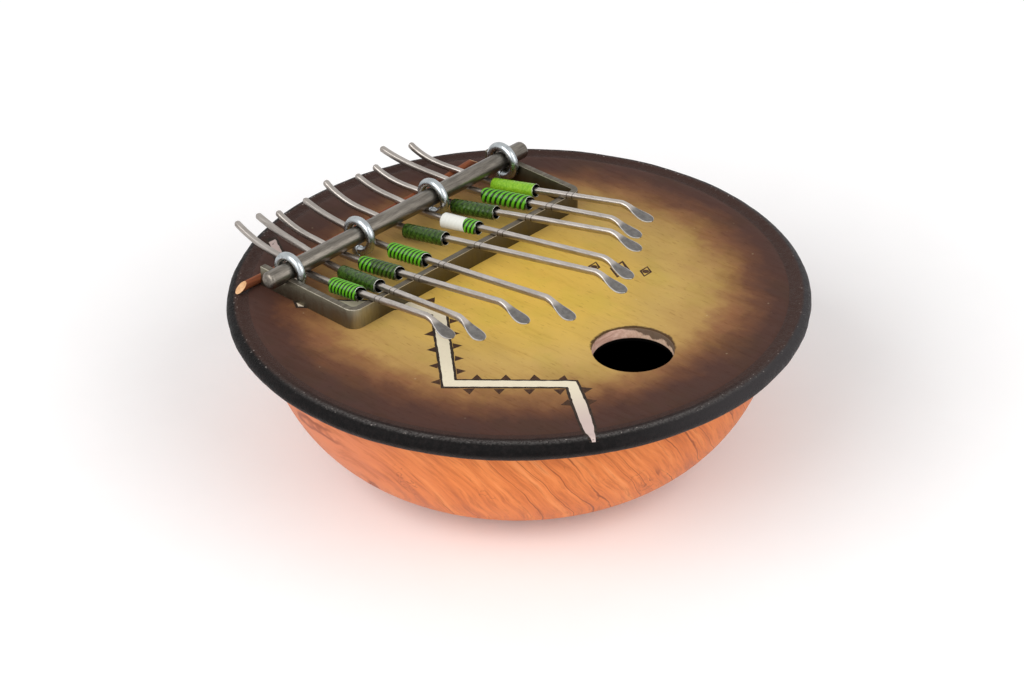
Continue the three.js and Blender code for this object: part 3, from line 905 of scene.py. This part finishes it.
def make_bowl():
    """A turned bowl; the faces that look into it, below its lip, are painted dark as shade."""
    outside = bowl_side(0, 0)
    inside = bowl_side(BOWL_WALL, BOWL_FLOOR)
    chamfer = LIP_ROUND / 3
    outside[-1] = (bowl_radius, bowl_high.z - chamfer)
    mouth_radii = (bowl_radius - chamfer, bowl_radius - BOWL_WALL + chamfer)
    mouth = [(radius, bowl_high.z) for radius in mouth_radii]
    bm = bmesh.new()
    turned_shell(bm, [(0, 0), *outside, *mouth, *reversed(inside), (0, BOWL_FLOOR)], BOWL_SIDES)
    for face in bm.faces:
        middle = face.calc_center_median()
        inward = face.normal.z > FLOOR_FACING or face.normal.xy.dot(middle.xy) < 0
        if inward and face.normal.z > WALL_FACING and middle.z < bowl_high.z - LIP_ROUND:
            face.material_index = 1
    fixed_piece("turned_bowl", bm, "bowl_wood", turned_wood(), shaded_wood(), nodes=("bowl",))


def edge_profile():
    """Offsets from the board's rim and heights from its top: a groove, the bead and its underside."""
    bead_place = -EDGE_RADIUS
    bead_height = EDGE_PROUD - EDGE_RADIUS
    inner = bead_place - EDGE_RADIUS
    points = [
        (inner - GROOVE_WIDTH, 0),
        (inner - GROOVE_WIDTH / 2, -GROOVE_DEPTH / 2),
        (inner + GROOVE_STEP, -GROOVE_DEPTH),
    ]
    for step in range(BEAD_STEPS + 1):
        angle = BEAD_START + (BEAD_END - BEAD_START) * step / BEAD_STEPS
        out, up = EDGE_RADIUS * math.cos(angle), EDGE_RADIUS * math.sin(angle)
        points.append((bead_place + out, bead_height + up))
    points.append((inner, -BOARD_THICKNESS))
    return points


def hole_profile():
    """Radii of the sound hole with heights from the board's top: a rounded lip and a straight wall."""
    lip = []
    for angle in quarter(LIP_STEPS):
        lip.append((HOLE_RADIUS + HOLE_ROUND * (1 - math.sin(angle)), HOLE_ROUND * (math.cos(angle) - 1)))
    return [(HOLE_RADIUS + 2 * HOLE_ROUND, 0), *lip, (HOLE_RADIUS, -BOARD_THICKNESS)]


def make_soundboard():
    """A flat between the hole and the rim, both pulled down to the underside, with an uneven bead."""
    bm = bmesh.new()
    flat = Vector((0, 0, deck))
    edge = edge_profile()
    outside = [(board_radius + offset, height) for offset, height in edge]
    outside.insert(0, (board_radius + edge[0][0] - FLAT_MARGIN, 0))
    inside = hole_profile()
    hole = ring(bm, inside[0][0], BOARD_SIDES, HOLE_CENTRE + flat)
    rim = ring(bm, outside[0][0], BOARD_SIDES, flat)
    bmesh.ops.bridge_loops(bm, edges=hole + rim)
    rim = pull_rings(bm, rim, Vector(), outside)
    hole = pull_rings(bm, hole, HOLE_CENTRE, inside)
    bmesh.ops.bridge_loops(bm, edges=hole + rim)
    face_all(bm)
    bead = board_radius - 2 * EDGE_RADIUS - BLACK_REACH
    for face in bm.faces:
        middle = face.calc_center_median()
        if middle.xy.length > bead:
            face.material_index = 1
        elif (middle - HOLE_CENTRE).xy.length < HOLE_RADIUS + HOLE_ROUND / 4:
            face.material_index = 2
    for vert in bm.verts:
        out = vert.co.xy.length
        if out > bead:
            push = sum(share * noise.noise(vert.co * waves) for waves, share in EDGE_WAVES)
            vert.co.xy *= 1 + EDGE_WOBBLE * push / out
    finishes = (stained_board(), black_edge(), hole_wall())
    fixed_piece("stained_soundboard", bm, "board_wood", *finishes, nodes=("soundboard",))


def pull_rings(bm, edges, centre, rings):
    """Pulls a level loop through rings of radius and height round a centre."""
    around = Matrix.Translation(centre)
    for (radius, height), (further, lower) in zip(rings, rings[1:]):
        scale = Matrix.Diagonal((further / radius, further / radius, 1, 1))
        move = Matrix.Translation((0, 0, lower - height)) @ scale
        edges = pull(bm, edges, around @ move @ around.inverted())
    return edges


def board_height(place):
    """The height of the board's upper side, over its bead as well."""
    offset = place.xy.length - board_radius
    line = [point for point in edge_profile() if point[1] > -EDGE_RADIUS / 2]
    for (before, height), (after, next_height) in zip(line, line[1:]):
        if before <= offset <= after:
            return deck + height + (next_height - height) * (offset - before) / (after - before)
    return deck


def zigzag_legs():
    """The straight legs of the zigzag: two corners, each with half the width there."""
    corners = [(Vector((x * MM, y * MM, 0)), width * MM / 2) for x, y, width in ZIGZAG]
    return list(zip(corners, corners[1:]))


def zigzag_stations():
    """Points along the painted zigzag, each with its half width and the way across it."""
    legs = zigzag_legs()
    ways = [(end[0] - start[0]).normalized() for start, end in legs]
    stations = []
    for index, ((start, wide), (end, next_wide)) in enumerate(legs):
        length = (end - start).length
        margin = CORNER_CLEAR * wide if index else 0.0
        rest = length - margin - (CORNER_CLEAR * next_wide if index < len(legs) - 1 else 0.0)
        steps = max(2, round(rest / ZIGZAG_STEP))
        if index:
            mitre = (ways[index - 1] + ways[index]).normalized()
            across = Vector((-mitre.y, mitre.x, 0)) / max(0.5, mitre.dot(ways[index]))
            stations.append((start, wide, across))
        across = Vector((-ways[index].y, ways[index].x, 0))
        for step in range(steps + 1):
            t = (margin + rest * step / steps) / length
            stations.append((start.lerp(end, t), wide + (next_wide - wide) * t, across))
    return stations


def thicken_down(bm):
    """Gives flat marks a body that reaches into the board."""
    made = bmesh.ops.extrude_face_region(bm, geom=bm.faces[:])
    bmesh.ops.translate(bm, verts=only(bmesh.types.BMVert, made), vec=(0, 0, -MARK_DEPTH))
    face_all(bm)


def painted_band(extra, rise, seed):
    """A band along the zigzag, wider by an extra on both sides, with slightly uneven edges."""
    bm = bmesh.new()
    rows = []
    for place, half, across in zigzag_stations():
        waves = place * ZIGZAG_WAVES
        shaky = [ZIGZAG_JITTER * noise.noise(waves + Vector((seed, row, 0))) for row in (0, 9)]
        left = place + across * (half + extra + shaky[0])
        right = place - across * (half + extra + shaky[1])
        rows.append([(point.x, point.y, board_height(point) + rise) for point in (left, right)])
    (left, right), (edge,) = open_line(bm, rows[0])
    for row in rows[1:]:
        old_left = left.co.copy()
        edge = pull(bm, [edge], Matrix.Identity(4))[0]
        left, right = sorted(edge.verts, key=lambda vert: (vert.co - old_left).length)
        left.co, right.co = row
    thicken_down(bm)
    return bm


def make_zigzag():
    """A painted stripe on a wider burnt band, which shows as its outline."""
    outline = burnt_mark("burnt_outline", (0.016, 0.012, 0.01), (0.05, 0.032, 0.022))
    fixed_piece("zigzag_outline", painted_band(OUTLINE_WIDTH, OUTLINE_RISE, 3), "board_wood", outline)
    fixed_piece("zigzag_stripe", painted_band(0, PAINT_RISE, 5), "board_wood", cream_paint())


def flat_mark(bm, centre, size, corners, turn, stretch=1.0):
    """The face of a flat many-cornered mark on the board."""
    place = Matrix.Translation((centre.x, centre.y, deck + TOOTH_RISE)) @ Matrix.Rotation(turn, 4, "Z")
    shape = place @ Matrix.Diagonal((stretch, 1, 1, 1))
    made = bmesh.ops.create_circle(bm, cap_ends=True, radius=size, segments=corners, matrix=shape)
    return made["verts"][0].link_faces[0]


def make_burnt_teeth():
    """Rows of triangles beside the zigzag that point away from it."""
    bm = bmesh.new()
    legs = zigzag_legs()
    for leg, side, first, step, distance, count in TEETH:
        start, end = legs[leg][0][0], legs[leg][1][0]
        way = (end - start).normalized()
        across = Vector((-way.y, way.x, 0)) * side
        for index in range(count):
            centre = start + way * (first + index * step) * MM + across * distance * MM
            uneven = noise.noise(centre * TOOTH_WAVES)
            turn = math.atan2(across.x, -across.y) + TOOTH_TURN_SPREAD * uneven
            flat_mark(bm, centre, TOOTH_SIZE * (1 + TOOTH_SIZE_SPREAD * uneven), 3, turn + math.pi)
    thicken_down(bm)
    brown = burnt_mark("burnt_teeth", (0.03, 0.014, 0.009), (0.085, 0.04, 0.02))
    fixed_piece("burnt_teeth", bm, "board_wood", brown)


def make_burnt_ornament():
    """Open lozenges in a row, each with a dot in its middle."""
    bm = bmesh.new()
    along = Vector((math.cos(ORNAMENT_LEAN), math.sin(ORNAMENT_LEAN), 0))
    for place, share in LOZENGES:
        centre = ORNAMENT_CENTRE + along * place * ORNAMENT_SIZE
        size = share * ORNAMENT_SIZE
        face = flat_mark(bm, centre, size, 4, ORNAMENT_LEAN, LOZENGE_SLIMNESS)
        bmesh.ops.inset_individual(bm, faces=[face], thickness=LOZENGE_LINE * size)
        bmesh.ops.delete(bm, geom=[face], context="FACES_ONLY")
        flat_mark(bm, centre, DOT_SIZE * ORNAMENT_SIZE, DOT_SIDES, 0)
    thicken_down(bm)
    dark = burnt_mark("burnt_ornament", (0.04, 0.02, 0.013), (0.11, 0.055, 0.03))
    fixed_piece("burnt_ornament", bm, "board_wood", dark)


def strip_line():
    """The outside of the bridge frame in plan: along the left arm, across the bridge and back."""
    far, near = strip_high.y, strip_low.y + CORNER_RADIUS
    reach = bar_radius + 2 * SADDLE_GAP
    saddle = [bar_axis.y + reach * (1 - 2 * step / SADDLE_STEPS) for step in range(SADDLE_STEPS + 1)]
    arm = [far, *saddle, (saddle[-1] + near) / 2]
    bend = quarter(BEND_STEPS)
    corner = [(CORNER_RADIUS * (1 - math.cos(a)), near - CORNER_RADIUS * math.sin(a)) for a in bend]
    left = [(strip_low.x, y) for y in arm] + [(strip_low.x + inset, y) for inset, y in corner]
    right = [(strip_low.x + strip_high.x - x, y) for x, y in reversed(left)]
    return left + right


def make_bridge_frame():
    """A strip on edge along its line, hollowed to a saddle under the bar, with rubbed upper edges that
    also carry a painted highlight.
    """
    bm = bmesh.new()
    foot = deck - TOOTH_RISE
    edges = open_line(bm, [(x, y, foot) for x, y in strip_line()])[1]
    half_height = Matrix.Translation((0, 0, (strip_high.z - foot) / 2))
    for _ in range(2):
        edges = pull(bm, edges, half_height)
    saddle = bar_radius + SADDLE_GAP
    for vert in {vert for edge in edges for vert in edge.verts}:
        gap = abs(vert.co.y - bar_axis.y)
        if gap < saddle:
            vert.co.z = min(vert.co.z, bar_axis.z - math.sqrt(saddle ** 2 - gap ** 2))
    face_all(bm)
    face_outwards(bm, Vector((strip_low.x + strip_high.x, 2 * bar_axis.y, 0)) / 2)
    bmesh.ops.solidify(bm, geom=bm.faces[:], thickness=STRIP_THICKNESS)
    face_all(bm)
    edges = [edge for edge in bm.edges if edge.calc_face_angle(0) > STRIP_SHARP]
    round_edges(bm, edges, STRIP_BEVEL, STRIP_BEVEL_STEPS)
    for face in bm.faces:
        narrow = face.calc_area() < face.calc_perimeter() * STRIP_BEVEL
        if face.normal.z > TOP_FACING:
            face.material_index = 1
        elif face.normal.z > BEVEL_FACING and narrow:
            face.material_index = 2
    side = strip_steel()
    top = worn_steel("strip_top", (0.15, 0.13, 0.1), (0.1, 0.088, 0.068), smooth=0.4, rough=0.55)[0]
    # Rubbed wear with a painted highlight on the upper bevels.
    rubbed = worn_steel("strip_edge", (0.62, 0.57, 0.46), (0.4, 0.36, 0.28))[0]
    fixed_piece("steel_bridge_frame", bm, "frame_steel", side, top, rubbed, nodes=("bridge_frame",))


def face_outwards(bm, centre):
    """Turns an open wall so that its faces look away from a centre in plan."""
    bm.faces.ensure_lookup_table()
    face = bm.faces[0]
    if face.normal.xy.dot((face.calc_center_median() - centre).xy) < 0:
        bmesh.ops.reverse_faces(bm, faces=bm.faces)


def uneven_along(place, waves, row):
    """Smooth noise along a line, in a row of its own for each use."""
    return noise.noise(Vector((place * waves, row, 0)))


def make_rear_stick():
    """A lumpy bowed stick with slanting cut ends."""
    bm = bmesh.new()
    half = (stick_high.x - stick_low.x) / 2
    turned = Matrix.Translation(stick_axis) @ Matrix.Rotation(STICK_TURN, 4, "Z")
    stations = []
    for step in range(STICK_STEPS + 1):
        part = 2 * step / STICK_STEPS - 1
        lean = math.copysign(STICK_BEVEL / 2, part) if abs(part) == 1 else 0.0
        across = part * (half - STICK_BEVEL) if not lean else part * half - lean
        radius = stick_radius * (1 + STICK_LUMPS * uneven_along(across, STICK_LUMP_WAVES, 3))
        wander = STICK_WANDER * uneven_along(across, STICK_WANDER_WAVES, 7) - STICK_BOW * (1 - part ** 2)
        stations.append(turned @ Matrix((
            (0, -lean, MM, across),
            (radius, 0, 0, wander),
            (0, radius, 0, stick_radius - SEAT_GAP - radius),
            (0, 0, 0, 1),
        )))
    sweep(bm, stations, STICK_SIDES)
    for face in bm.faces:
        if len(face.verts) > 4:
            face.material_index = 1
    bark = raw_wood("stick_wood", (0.29, 0.088, 0.033), (0.15, 0.042, 0.018))[0]
    cut = raw_wood("stick_cut", (0.80, 0.50, 0.28), (0.55, 0.28, 0.12))[0]
    fixed_piece("whittled_stick", bm, "stick_wood", bark, cut, nodes=("rear_bridge_stick",))


def make_pressure_bar():
    """A round rod with rounded ends."""
    bm = bmesh.new()
    lay = Matrix.Translation(bar_axis) @ Matrix.Rotation(math.pi / 2, 4, "Y")
    length = bar_high.x - bar_low.x
    bmesh.ops.create_cone(
        bm, cap_ends=True, segments=BAR_SIDES, radius1=bar_radius, radius2=bar_radius, depth=length,
        matrix=lay,
    )
    ends = [edge for edge in bm.edges if abs(edge.verts[0].co.x - edge.verts[1].co.x) < MM]
    round_edges(bm, ends, BAR_ROUND, BAR_ROUND_STEPS)
    steel = worn_steel("bar_steel", (0.21, 0.188, 0.16), (0.11, 0.098, 0.084), smooth=0.28, rough=0.4)[0]
    fixed_piece("steel_pressure_bar", bm, "bar_steel", steel, nodes=("pressure_bar",))


def eye_path(reach, foot):
    """The wire of an eye bolt, seen from the middle of its eye: up the shank and round."""
    path = [Vector((0, 0, foot)), Vector((0, 0, -reach - EYE_NECK))]
    first = -math.pi / 2 + EYE_OPENING
    for step in range(RING_STEPS + 1):
        angle = first + (math.tau - EYE_OPENING) * step / RING_STEPS
        path.append(Vector((0, reach * math.cos(angle), reach * math.sin(angle))))
    return path


def make_eye_bolts():
    """Wire bent round the bar to an eye, with a straight shank down through the board."""
    zinc = bright_zinc()
    for number in range(1, EYE_COUNT + 1):
        low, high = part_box(f"eye_bolt_{number}")
        centre = (low + high) / 2
        reach = (high.y - low.y - EYE_WIRE) / 2
        centre.z = high.z - reach - EYE_WIRE / 2
        points = [centre + point for point in eye_path(reach, low.z - centre.z)]
        bm = bmesh.new()
        sweep(bm, wire_stations(points, EYE_WIRE / 2, Vector((1, 0, 0))), EYE_SIDES)
        fixed_piece(f"zinc_eye_bolt_{number}", bm, "zinc_plate", zinc, nodes=(f"eye_bolt_{number}",))
        for node in (f"washer_{number}", f"nut_{number}"):
            frame["nodes"][node].material_slots[0].material = zinc


def way_at(points, index):
    """The way along a run of points at one of them."""
    last = len(points) - 1
    return (points[min(index + 1, last)] - points[max(index - 1, 0)]).normalized()


def wire_stations(points, radius, side):
    """Stations for a round wire through points that lie in a plane, given the way square to it."""
    stations = []
    for index, point in enumerate(points):
        way = way_at(points, index)
        stations.append(station(point, side * radius, way.cross(side) * radius, way * MM))
    return stations


def station(place, across, up, along):
    """A matrix that lays a circle's X and Y along two ways at a place."""
    columns = [across.to_4d(), up.to_4d(), along.to_4d(), place.to_4d()]
    for column, last in zip(columns, (0, 0, 0, 1)):
        column.w = last
    return Matrix(columns).transposed()


def span(node, origin, way):
    """How far a CAD node reaches back and forward along a way from a point."""
    reach = [(vert.co - origin).dot(way) for vert in frame["nodes"][node].data.vertices]
    return min(reach), max(reach)


def highest(node, origin, way, behind, ahead):
    """The highest points of a CAD node behind one place along a way and in front of another."""
    places = [((vert.co - origin).dot(way), vert.co.z) for vert in frame["nodes"][node].data.vertices]
    rear = max(height for place, height in places if place < behind)
    return rear, max(height for place, height in places if place > ahead)


def eased(t):
    """A smooth step from 0 to 1."""
    t = min(max(t, 0.0), 1.0)
    return t * t * (3 - 2 * t)


def bent_line(start, end, steps):
    """Points on a smooth bend between two (place, height, slope) ends, without the last one."""
    (a, low, leave), (b, high, arrive) = start, end
    width = b - a
    points = []
    for step in range(steps):
        t = step / steps
        height = low * (2 * t ** 3 - 3 * t ** 2 + 1) + high * (3 * t ** 2 - 2 * t ** 3)
        height += width * (leave * (t ** 3 - 2 * t ** 2 + t) + arrive * (t ** 3 - t ** 2))
        points.append((a + width * t, height))
    return points


def paddle_line(bend, on_bridge, slope):
    """Points from the bend before the paddle to its tip, closer together towards the tip."""
    points = []
    for step in range(PADDLE_STEPS + 1):
        part = 1 - (1 - step / PADDLE_STEPS) ** PADDLE_CROWDING
        place = bend + (PADDLE_LENGTH + PADDLE_BEND) * part
        drop = PADDLE_DROP * math.sin(PADDLE_SWING * part ** PADDLE_SWING) / math.sin(PADDLE_SWING)
        points.append((place, on_bridge + slope * place - drop))
    return points


def tongue_line(number, anchor, way):
    """Places along a tongue from its bridge, with heights: tail, rear stick, bar, bridge and paddle."""
    node = f"tongue_{number}"
    half = TONGUE_WIRE / 2
    tail, tip = span(node, anchor, way)
    bar = (bar_axis.y - anchor.y) / way.y
    turn = math.tan(STICK_TURN)
    stick = (stick_axis.y + (anchor.x - stick_axis.x) * turn - anchor.y) / (way.y - way.x * turn)
    tail_top, neck_top = highest(node, anchor, way, stick - TONGUE_WIRE, 0)
    on_stick = stick_axis.z - SEAT_GAP + stick_radius + half
    on_bridge = strip_high.z + half
    under_bar = bar_axis.z - bar_radius - half
    neck = tip - PADDLE_LENGTH
    slope = (neck_top - half - on_bridge) / neck
    bend = neck - PADDLE_BEND
    curl = tail_top - half - on_stick
    points = []
    for step in range(TAIL_STEPS):
        part = 1 - step / TAIL_STEPS
        points.append((stick + (tail - stick) * part, on_stick + curl * part ** TAIL_CURL))
    supports = [
        (stick, on_stick, -BAR_SLOPE),
        (bar, under_bar, BAR_SLOPE),
        (0.0, on_bridge, slope),
        (bend, on_bridge + slope * bend, slope),
    ]
    for start, end, steps in zip(supports, supports[1:], SPAN_STEPS):
        points += bent_line(start, end, steps)
    points += paddle_line(bend, on_bridge, slope)
    end_round = (points[0][0] + END_ROUND, points[0][1] + (points[1][1] - points[0][1]) * END_RISE)
    points.insert(1, end_round)
    return points, neck


def tongue_section(place, neck, tail):
    """Half width and half thickness of a tongue: round wire, hammered flat to a leaf at the tip."""
    part = (place - neck) / PADDLE_LENGTH
    width = TONGUE_WIRE + (PADDLE_WIDTH - TONGUE_WIRE) * eased(part / PADDLE_WIDEST)
    depth = TONGUE_WIRE + (PADDLE_THICKNESS - TONGUE_WIRE) * eased(part / PADDLE_FLAT)
    if part > PADDLE_WIDEST:
        beyond = (part - PADDLE_WIDEST) / (1 - PADDLE_WIDEST)
        rounding = math.sqrt(max(1 - beyond ** 2, TIP_WIDTH ** 2))
        width *= rounding
        depth *= TIP_DEPTH + (1 - TIP_DEPTH) * rounding
    end = min(1.0, END_LEFT + (1 - END_LEFT) * (place - tail) / END_ROUND)
    return width / 2 * end, depth / 2 * end


def tongue_stations(line, neck, anchor, way, side):
    """Stations for a tongue along its line of places and heights."""
    points = [anchor + way * place + Vector((0, 0, height)) for place, height in line]
    stations = []
    for index, point in enumerate(points):
        along = way_at(points, index)
        half_width, half_depth = tongue_section(line[index][0], neck, line[0][0])
        up = side.cross(along) * half_depth
        stations.append(station(point, side * half_width, up, along * MM))
    return stations


def dish_paddle(bm, neck, tail, anchor, way, side):
    """Keeps where the points of a tongue lie on it, and hollows the upper face of its paddle."""
    layers = float_layers(bm, "along", "flat", "rim")
    for vert in bm.verts:
        place = (vert.co - anchor).dot(way)
        flat = eased((place - neck) / PADDLE_LENGTH / PADDLE_FLAT)
        half_width = max(tongue_section(place, neck, tail)[0], END_ROUND / 2)
        rim = abs((vert.co - anchor).dot(side)) / half_width
        vert[layers["along"]] = place
        vert[layers["flat"]] = flat
        vert[layers["rim"]] = min(rim, 1.0)
        if vert.normal.z > 0:
            vert.co.z -= PADDLE_DISH * flat * max(0.0, 1 - rim ** 2)


def make_tongues():
    """Wires bent between the bar and the bridge, each laid out from the place of its joint."""
    steel = tongue_steel()
    for number in range(1, TONGUE_COUNT + 1):
        joint = joints[f"tongue_{number}_bend"]
        anchor = Vector(joint["pos_m"])
        side = Vector(joint["axis"]).normalized()
        way = Vector((side.y, -side.x, 0))
        anchor.z = 0
        line, neck = tongue_line(number, anchor, way)
        bm = bmesh.new()
        sweep(bm, tongue_stations(line, neck, anchor, way, side), TONGUE_SIDES, TONGUE_SQUARENESS)
        dish_paddle(bm, neck, line[0][0], anchor, way, side)
        piece = new_piece(f"steel_tongue_{number}", bm, "tongue_steel", steel)
        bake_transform(piece)
        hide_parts(f"tongue_{number}")


def sleeve_prints():
    """The looks of the sheets that the sleeves are rolled from."""
    bright, groove = (0.11, 0.39, 0.014), (0.005, 0.02, 0.003)
    olive, moss = (0.05, 0.11, 0.010), (0.008, 0.022, 0.003)
    white = ((0.76, 0.76, 0.7), (0.78, 0.78, 0.72))
    yellow, leaf = (0.30, 0.54, 0.025), (0.13, 0.34, 0.012)
    return {
        "ribbed": printed_sheet("green_ribbed_sheet", bright, groove, 1.0, 0.5),
        "dark": printed_sheet("dark_green_sheet", olive, moss, 0.12, 1.8),
        "wrapped": printed_sheet(
            "wrapped_green_sheet", olive, moss, 0.5, 1.2, rear=(groove, bright), edge=0.42,
        ),
        "label": printed_sheet(
            "pale_sheet", bright, groove, 1.0, 0.5, rear=white, edge=LABEL_EDGE, lean=0.03,
        ),
        "glossy": printed_sheet("yellow_green_sheet", yellow, leaf, 0.0, 1.4),
    }


def rolled_sheet(rear, front, seam, rings):
    """An open roll of sheet along Z from its rear to its front."""
    bm = bmesh.new()
    profile = []
    for step in range(round(SLEEVE_SIDES * SLEEVE_TURNS) + 1):
        turn = step / SLEEVE_SIDES
        angle = seam + math.tau * turn
        radius = SLEEVE_INNER_RADIUS + SHEET_THICKNESS / 2 + SHEET_PITCH * turn
        profile.append((radius * math.cos(angle), radius * math.sin(angle), rear))
    edges = open_line(bm, profile)[1]
    for _ in range(rings):
        edges = pull(bm, edges, Matrix.Translation((0, 0, (front - rear) / rings)))
    return bm


def press_ribs(bm, rear, front, look, ribs, depth, flare):
    """Presses slanting ribs into a roll, widens it to the rear and keeps where its points lie on it."""
    layers = float_layers(bm, "along", "rib", "round")
    for vert in bm.verts:
        part = (vert.co.z - rear) / (front - rear)
        angle = math.atan2(vert.co.y, vert.co.x)
        rib = math.cos(math.tau * ribs * part + RIB_STARTS * angle)
        height = depth * MM * rib
        if look == "label":
            height *= eased((part - LABEL_EDGE) / LABEL_FADE)
        vert.co.xy *= (1 + flare * (1 - part)) * (1 + height / vert.co.xy.length)
        vert[layers["along"]] = part
        vert[layers["rib"]] = rib
        vert[layers["round"]] = math.sin(angle)
    face_all(bm)
    face_outwards(bm, Vector())


def make_sleeves():
    """Loose rolls of printed sheet, each laid along the axis of its joint."""
    prints = sleeve_prints()
    edge = worn_steel("sheet_edge", (0.75, 0.75, 0.72), (0.6, 0.6, 0.57))[0]
    # Painted shade: the inner face of each roll is near-black.
    inside_shade = worn_steel("sheet_inside_shade", (0.05, 0.055, 0.045), (0.02, 0.024, 0.018))[0]
    for number, (look, ribs, depth, flare, seam) in enumerate(SLEEVES, start=1):
        joint = joints[f"sleeve_{number}_turn"]
        axis = Vector(joint["axis"]).normalized()
        centre = Vector(joint["pos_m"])
        rear, front = span(f"sleeve_{number}", centre, axis)
        side = Vector((0, 0, 1)).cross(axis).normalized()
        bm = rolled_sheet(rear, front, seam, ribs * RINGS_PER_RIB)
        press_ribs(bm, rear, front, look, ribs, depth, flare)
        bmesh.ops.transform(bm, verts=bm.verts, matrix=station(centre, side, axis.cross(side), axis))
        piece = new_piece(f"rolled_sleeve_{number}", bm, "printed_sheet", prints[look], edge, inside_shade)
        sheet = piece.modifiers.new("sheet", "SOLIDIFY")
        sheet.thickness = SHEET_THICKNESS
        sheet.offset = 0
        sheet.material_offset_rim = 1
        sheet.material_offset = 2
        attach(piece, f"sleeve_{number}")
        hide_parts(f"sleeve_{number}")


# Stage

def make_camera():
    """The picture's own view of the object."""
    right = Vector((math.cos(VIEW_AZIMUTH), math.sin(VIEW_AZIMUTH), 0))
    level = Vector((math.sin(VIEW_AZIMUTH), -math.cos(VIEW_AZIMUTH), 0))
    back = level * math.cos(VIEW_ELEVATION) + Vector((0, 0, math.sin(VIEW_ELEVATION)))
    middle = Vector((0, 0, AIM_HEIGHT))
    lens = bpy.data.cameras.new("camera")
    lens.lens = VIEW_LENS
    lens.sensor_width = SENSOR_WIDTH
    camera = bpy.data.objects.new("camera", lens)
    camera.location = middle + back * VIEW_DISTANCE
    aim = middle + right * AIM_RIGHT + back.cross(right) * AIM_UP
    look = (aim - camera.location).to_track_quat("-Z", "Y")
    camera.rotation_euler = (look @ Quaternion((0, 0, 1), VIEW_ROLL)).to_euler()
    bpy.context.scene.collection.objects.link(camera)
    bpy.context.scene.camera = camera


def make_light(name, azimuth, elevation, power):
    """A square soft light that looks at the object from a way given as for the camera."""
    lamp = bpy.data.lights.new(name, "AREA")
    lamp.size = SOFTBOX_SIZE
    lamp.energy = power
    light = bpy.data.objects.new(name, lamp)
    a, e = math.radians(azimuth), math.radians(elevation)
    way = Vector((math.sin(a) * math.cos(e), -math.cos(a) * math.cos(e), math.sin(e)))
    light.location = way * SOFTBOX_DISTANCE
    light.rotation_euler = way.to_track_quat("Z", "Y").to_euler()
    bpy.context.scene.collection.objects.link(light)


def make_studio():
    """Soft lights in a room that looks white and lights the object evenly."""
    for name, setting in SOFTBOXES.items():
        make_light(name, *setting)
    world = bpy.data.worlds.new("studio")
    world.use_nodes = True
    graph = Graph(world.node_tree)
    path = graph.node("ShaderNodeLightPath").outputs
    seen = graph.math("MAXIMUM", path["Is Camera Ray"], path["Is Glossy Ray"])
    seen = graph.math("MAXIMUM", seen, path["Is Transmission Ray"])
    strength = graph.plus(AMBIENT, graph.times(seen, 1 - AMBIENT))
    background = world.node_tree.nodes["Background"].inputs
    background["Color"].default_value = (1, 1, 1, 1)
    graph.feed(background["Strength"], strength)
    bpy.context.scene.world = world


def make_floor():
    """A pale floor that the camera sees as white away from the object's shadow."""
    bm = bmesh.new()
    bmesh.ops.create_grid(bm, x_segments=4, y_segments=4, size=FLOOR_SIZE)
    mesh = bpy.data.meshes.new("floor")
    bm.to_mesh(mesh)
    bm.free()
    floor = bpy.data.objects.new("floor", mesh)
    bpy.context.scene.collection.objects.link(floor)
    material, graph, shader = new_material("white_floor", Roughness=0.9, Emission_Color=(1, 1, 1, 1))
    grain = graph.grey(graph.mapped(), 0.05, 3.0)
    graph.feed(shader["Base Color"], graph.mix(grain, (0.90, 0.89, 0.89), (0.93, 0.92, 0.92)))
    camera_ray = graph.node("ShaderNodeLightPath").outputs["Is Camera Ray"]
    distance = graph.length(graph.mapped())
    lift = graph.band(distance, *LIFT_REACH, *FLOOR_LIFT)
    lift = graph.plus(lift, graph.band(distance, *FAR_REACH, *FAR_LIFT))
    graph.feed(shader["Emission Strength"], graph.times(camera_ray, lift))
    mesh.materials.append(material)


make_camera()
make_bowl()
make_soundboard()
make_zigzag()
make_burnt_teeth()
make_burnt_ornament()
make_bridge_frame()
make_rear_stick()
make_pressure_bar()
make_eye_bolts()
make_tongues()
make_sleeves()
make_studio()
make_floor()
bpy.context.scene.view_settings.view_transform = "Standard"
